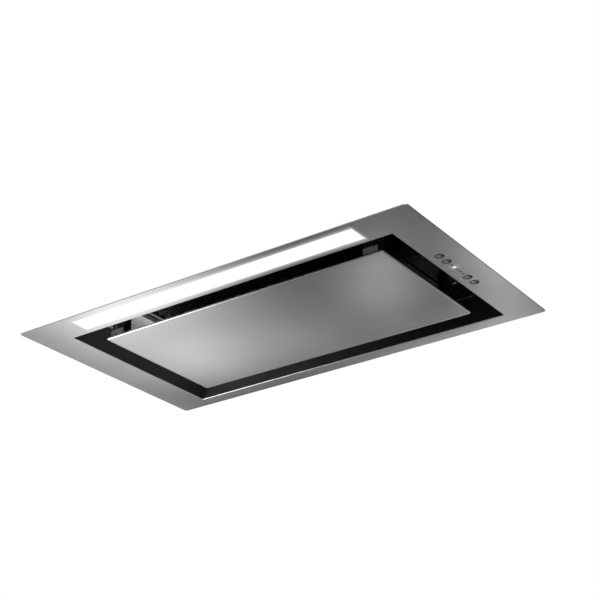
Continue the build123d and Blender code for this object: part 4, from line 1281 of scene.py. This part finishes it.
    def cabinet(self):
        """White underside of the cabinet round the cut-out, which only shows from below."""
        level, reach = 0.3, 3000.0
        shape = Shape()
        inner = rounded_rectangle(CUT_OUT_HALF_WIDTH, CUT_OUT_HALF_DEPTH, 2.0, level, steps=2)
        outer = rounded_rectangle(reach, reach, 20.0, level, steps=2)
        shape.skin([inner, outer])
        mesh = mesh_of("cabinet_underside", shape)
        low = add_object("cabinet_underside", mesh)
        material, tree, out = stage_material("cabinet_underside")
        clear = tree.nodes.new("ShaderNodeBsdfTransparent")
        glow = tree.nodes.new("ShaderNodeEmission")
        side = tree.nodes.new("ShaderNodeNewGeometry")
        from_below = minus(tree, 1.0, side.outputs["Backfacing"])
        show(tree, times(tree, camera_ray(tree), from_below), clear, glow, out)
        mesh.materials.append(material)

    def lamps(self, stage):
        """Soft lamps: high at the front right and at the back left, and a low one at the left."""
        aim = Vector((0.0, 0.0, 0.08))
        lamps = (
            ((0.9, -1.4, 1.9), 2.8, 26.0),
            ((-1.0, 1.8, 1.3), 2.6, 14.0),
            ((-1.2, -0.1, -0.9), 1.0, 12.0),
        )
        for number, (spot, size, power) in enumerate(lamps[: stage.lamp_count], start=1):
            data = bpy.data.lights.new(f"lamp_{number}", "AREA")
            data.shape = "DISK"
            data.size = size
            data.energy = power
            lamp = add_object(f"lamp_{number}", data)
            lamp.location = spot
            lamp.rotation_mode = "QUATERNION"
            lamp.rotation_quaternion = (aim - Vector(spot)).to_track_quat("-Z", "Y")


class HOOD_PT_panel(bpy.types.Panel):
    """Lists the hood's pieces"""

    bl_label = "Range hood"
    bl_idname = "HOOD_PT_panel"
    bl_space_type = "VIEW_3D"
    bl_region_type = "UI"
    bl_category = "Range Hood"

    def draw(self, context):
        layout = self.layout
        for group in ("hood_sizes", "hood_colours", "hood_stage"):
            settings = getattr(context.scene, group)
            box = layout.box()
            for name in settings.__annotations__:
                box.prop(settings, name)
        for operator in OPERATORS:
            layout.operator(operator.bl_idname)


SETTINGS = {"hood_sizes": HoodSizes, "hood_colours": HoodColours, "hood_stage": HoodStage}
OPERATORS = (
    HOOD_OT_sheet_metal,
    HOOD_OT_mouldings,
    HOOD_OT_hardware,
    HOOD_OT_suction_panel,
    HOOD_OT_filter_mesh,
    HOOD_OT_buttons,
    HOOD_OT_fasteners,
    HOOD_OT_cable_gland,
    HOOD_OT_stage,
)


def register():
    """Registers the settings, the operators and the sidebar panel."""
    for name, group in SETTINGS.items():
        bpy.utils.register_class(group)
        setattr(bpy.types.Scene, name, PointerProperty(type=group))
    for operator in OPERATORS:
        bpy.utils.register_class(operator)
    bpy.utils.register_class(HOOD_PT_panel)


def unregister():
    """Removes what register added."""
    bpy.utils.unregister_class(HOOD_PT_panel)
    for operator in reversed(OPERATORS):
        bpy.utils.unregister_class(operator)
    for name, group in reversed(list(SETTINGS.items())):
        delattr(bpy.types.Scene, name)
        bpy.utils.unregister_class(group)


def main():
    register()
    bpy.ops.hood.sheet_metal()
    bpy.ops.hood.mouldings()
    bpy.ops.hood.hardware()
    bpy.ops.hood.suction_panel()
    bpy.ops.hood.filter_mesh()
    bpy.ops.hood.buttons()
    bpy.ops.hood.fasteners()
    bpy.ops.hood.cable_gland()
    bpy.ops.hood.stage()


if __name__ == "__main__":
    main()
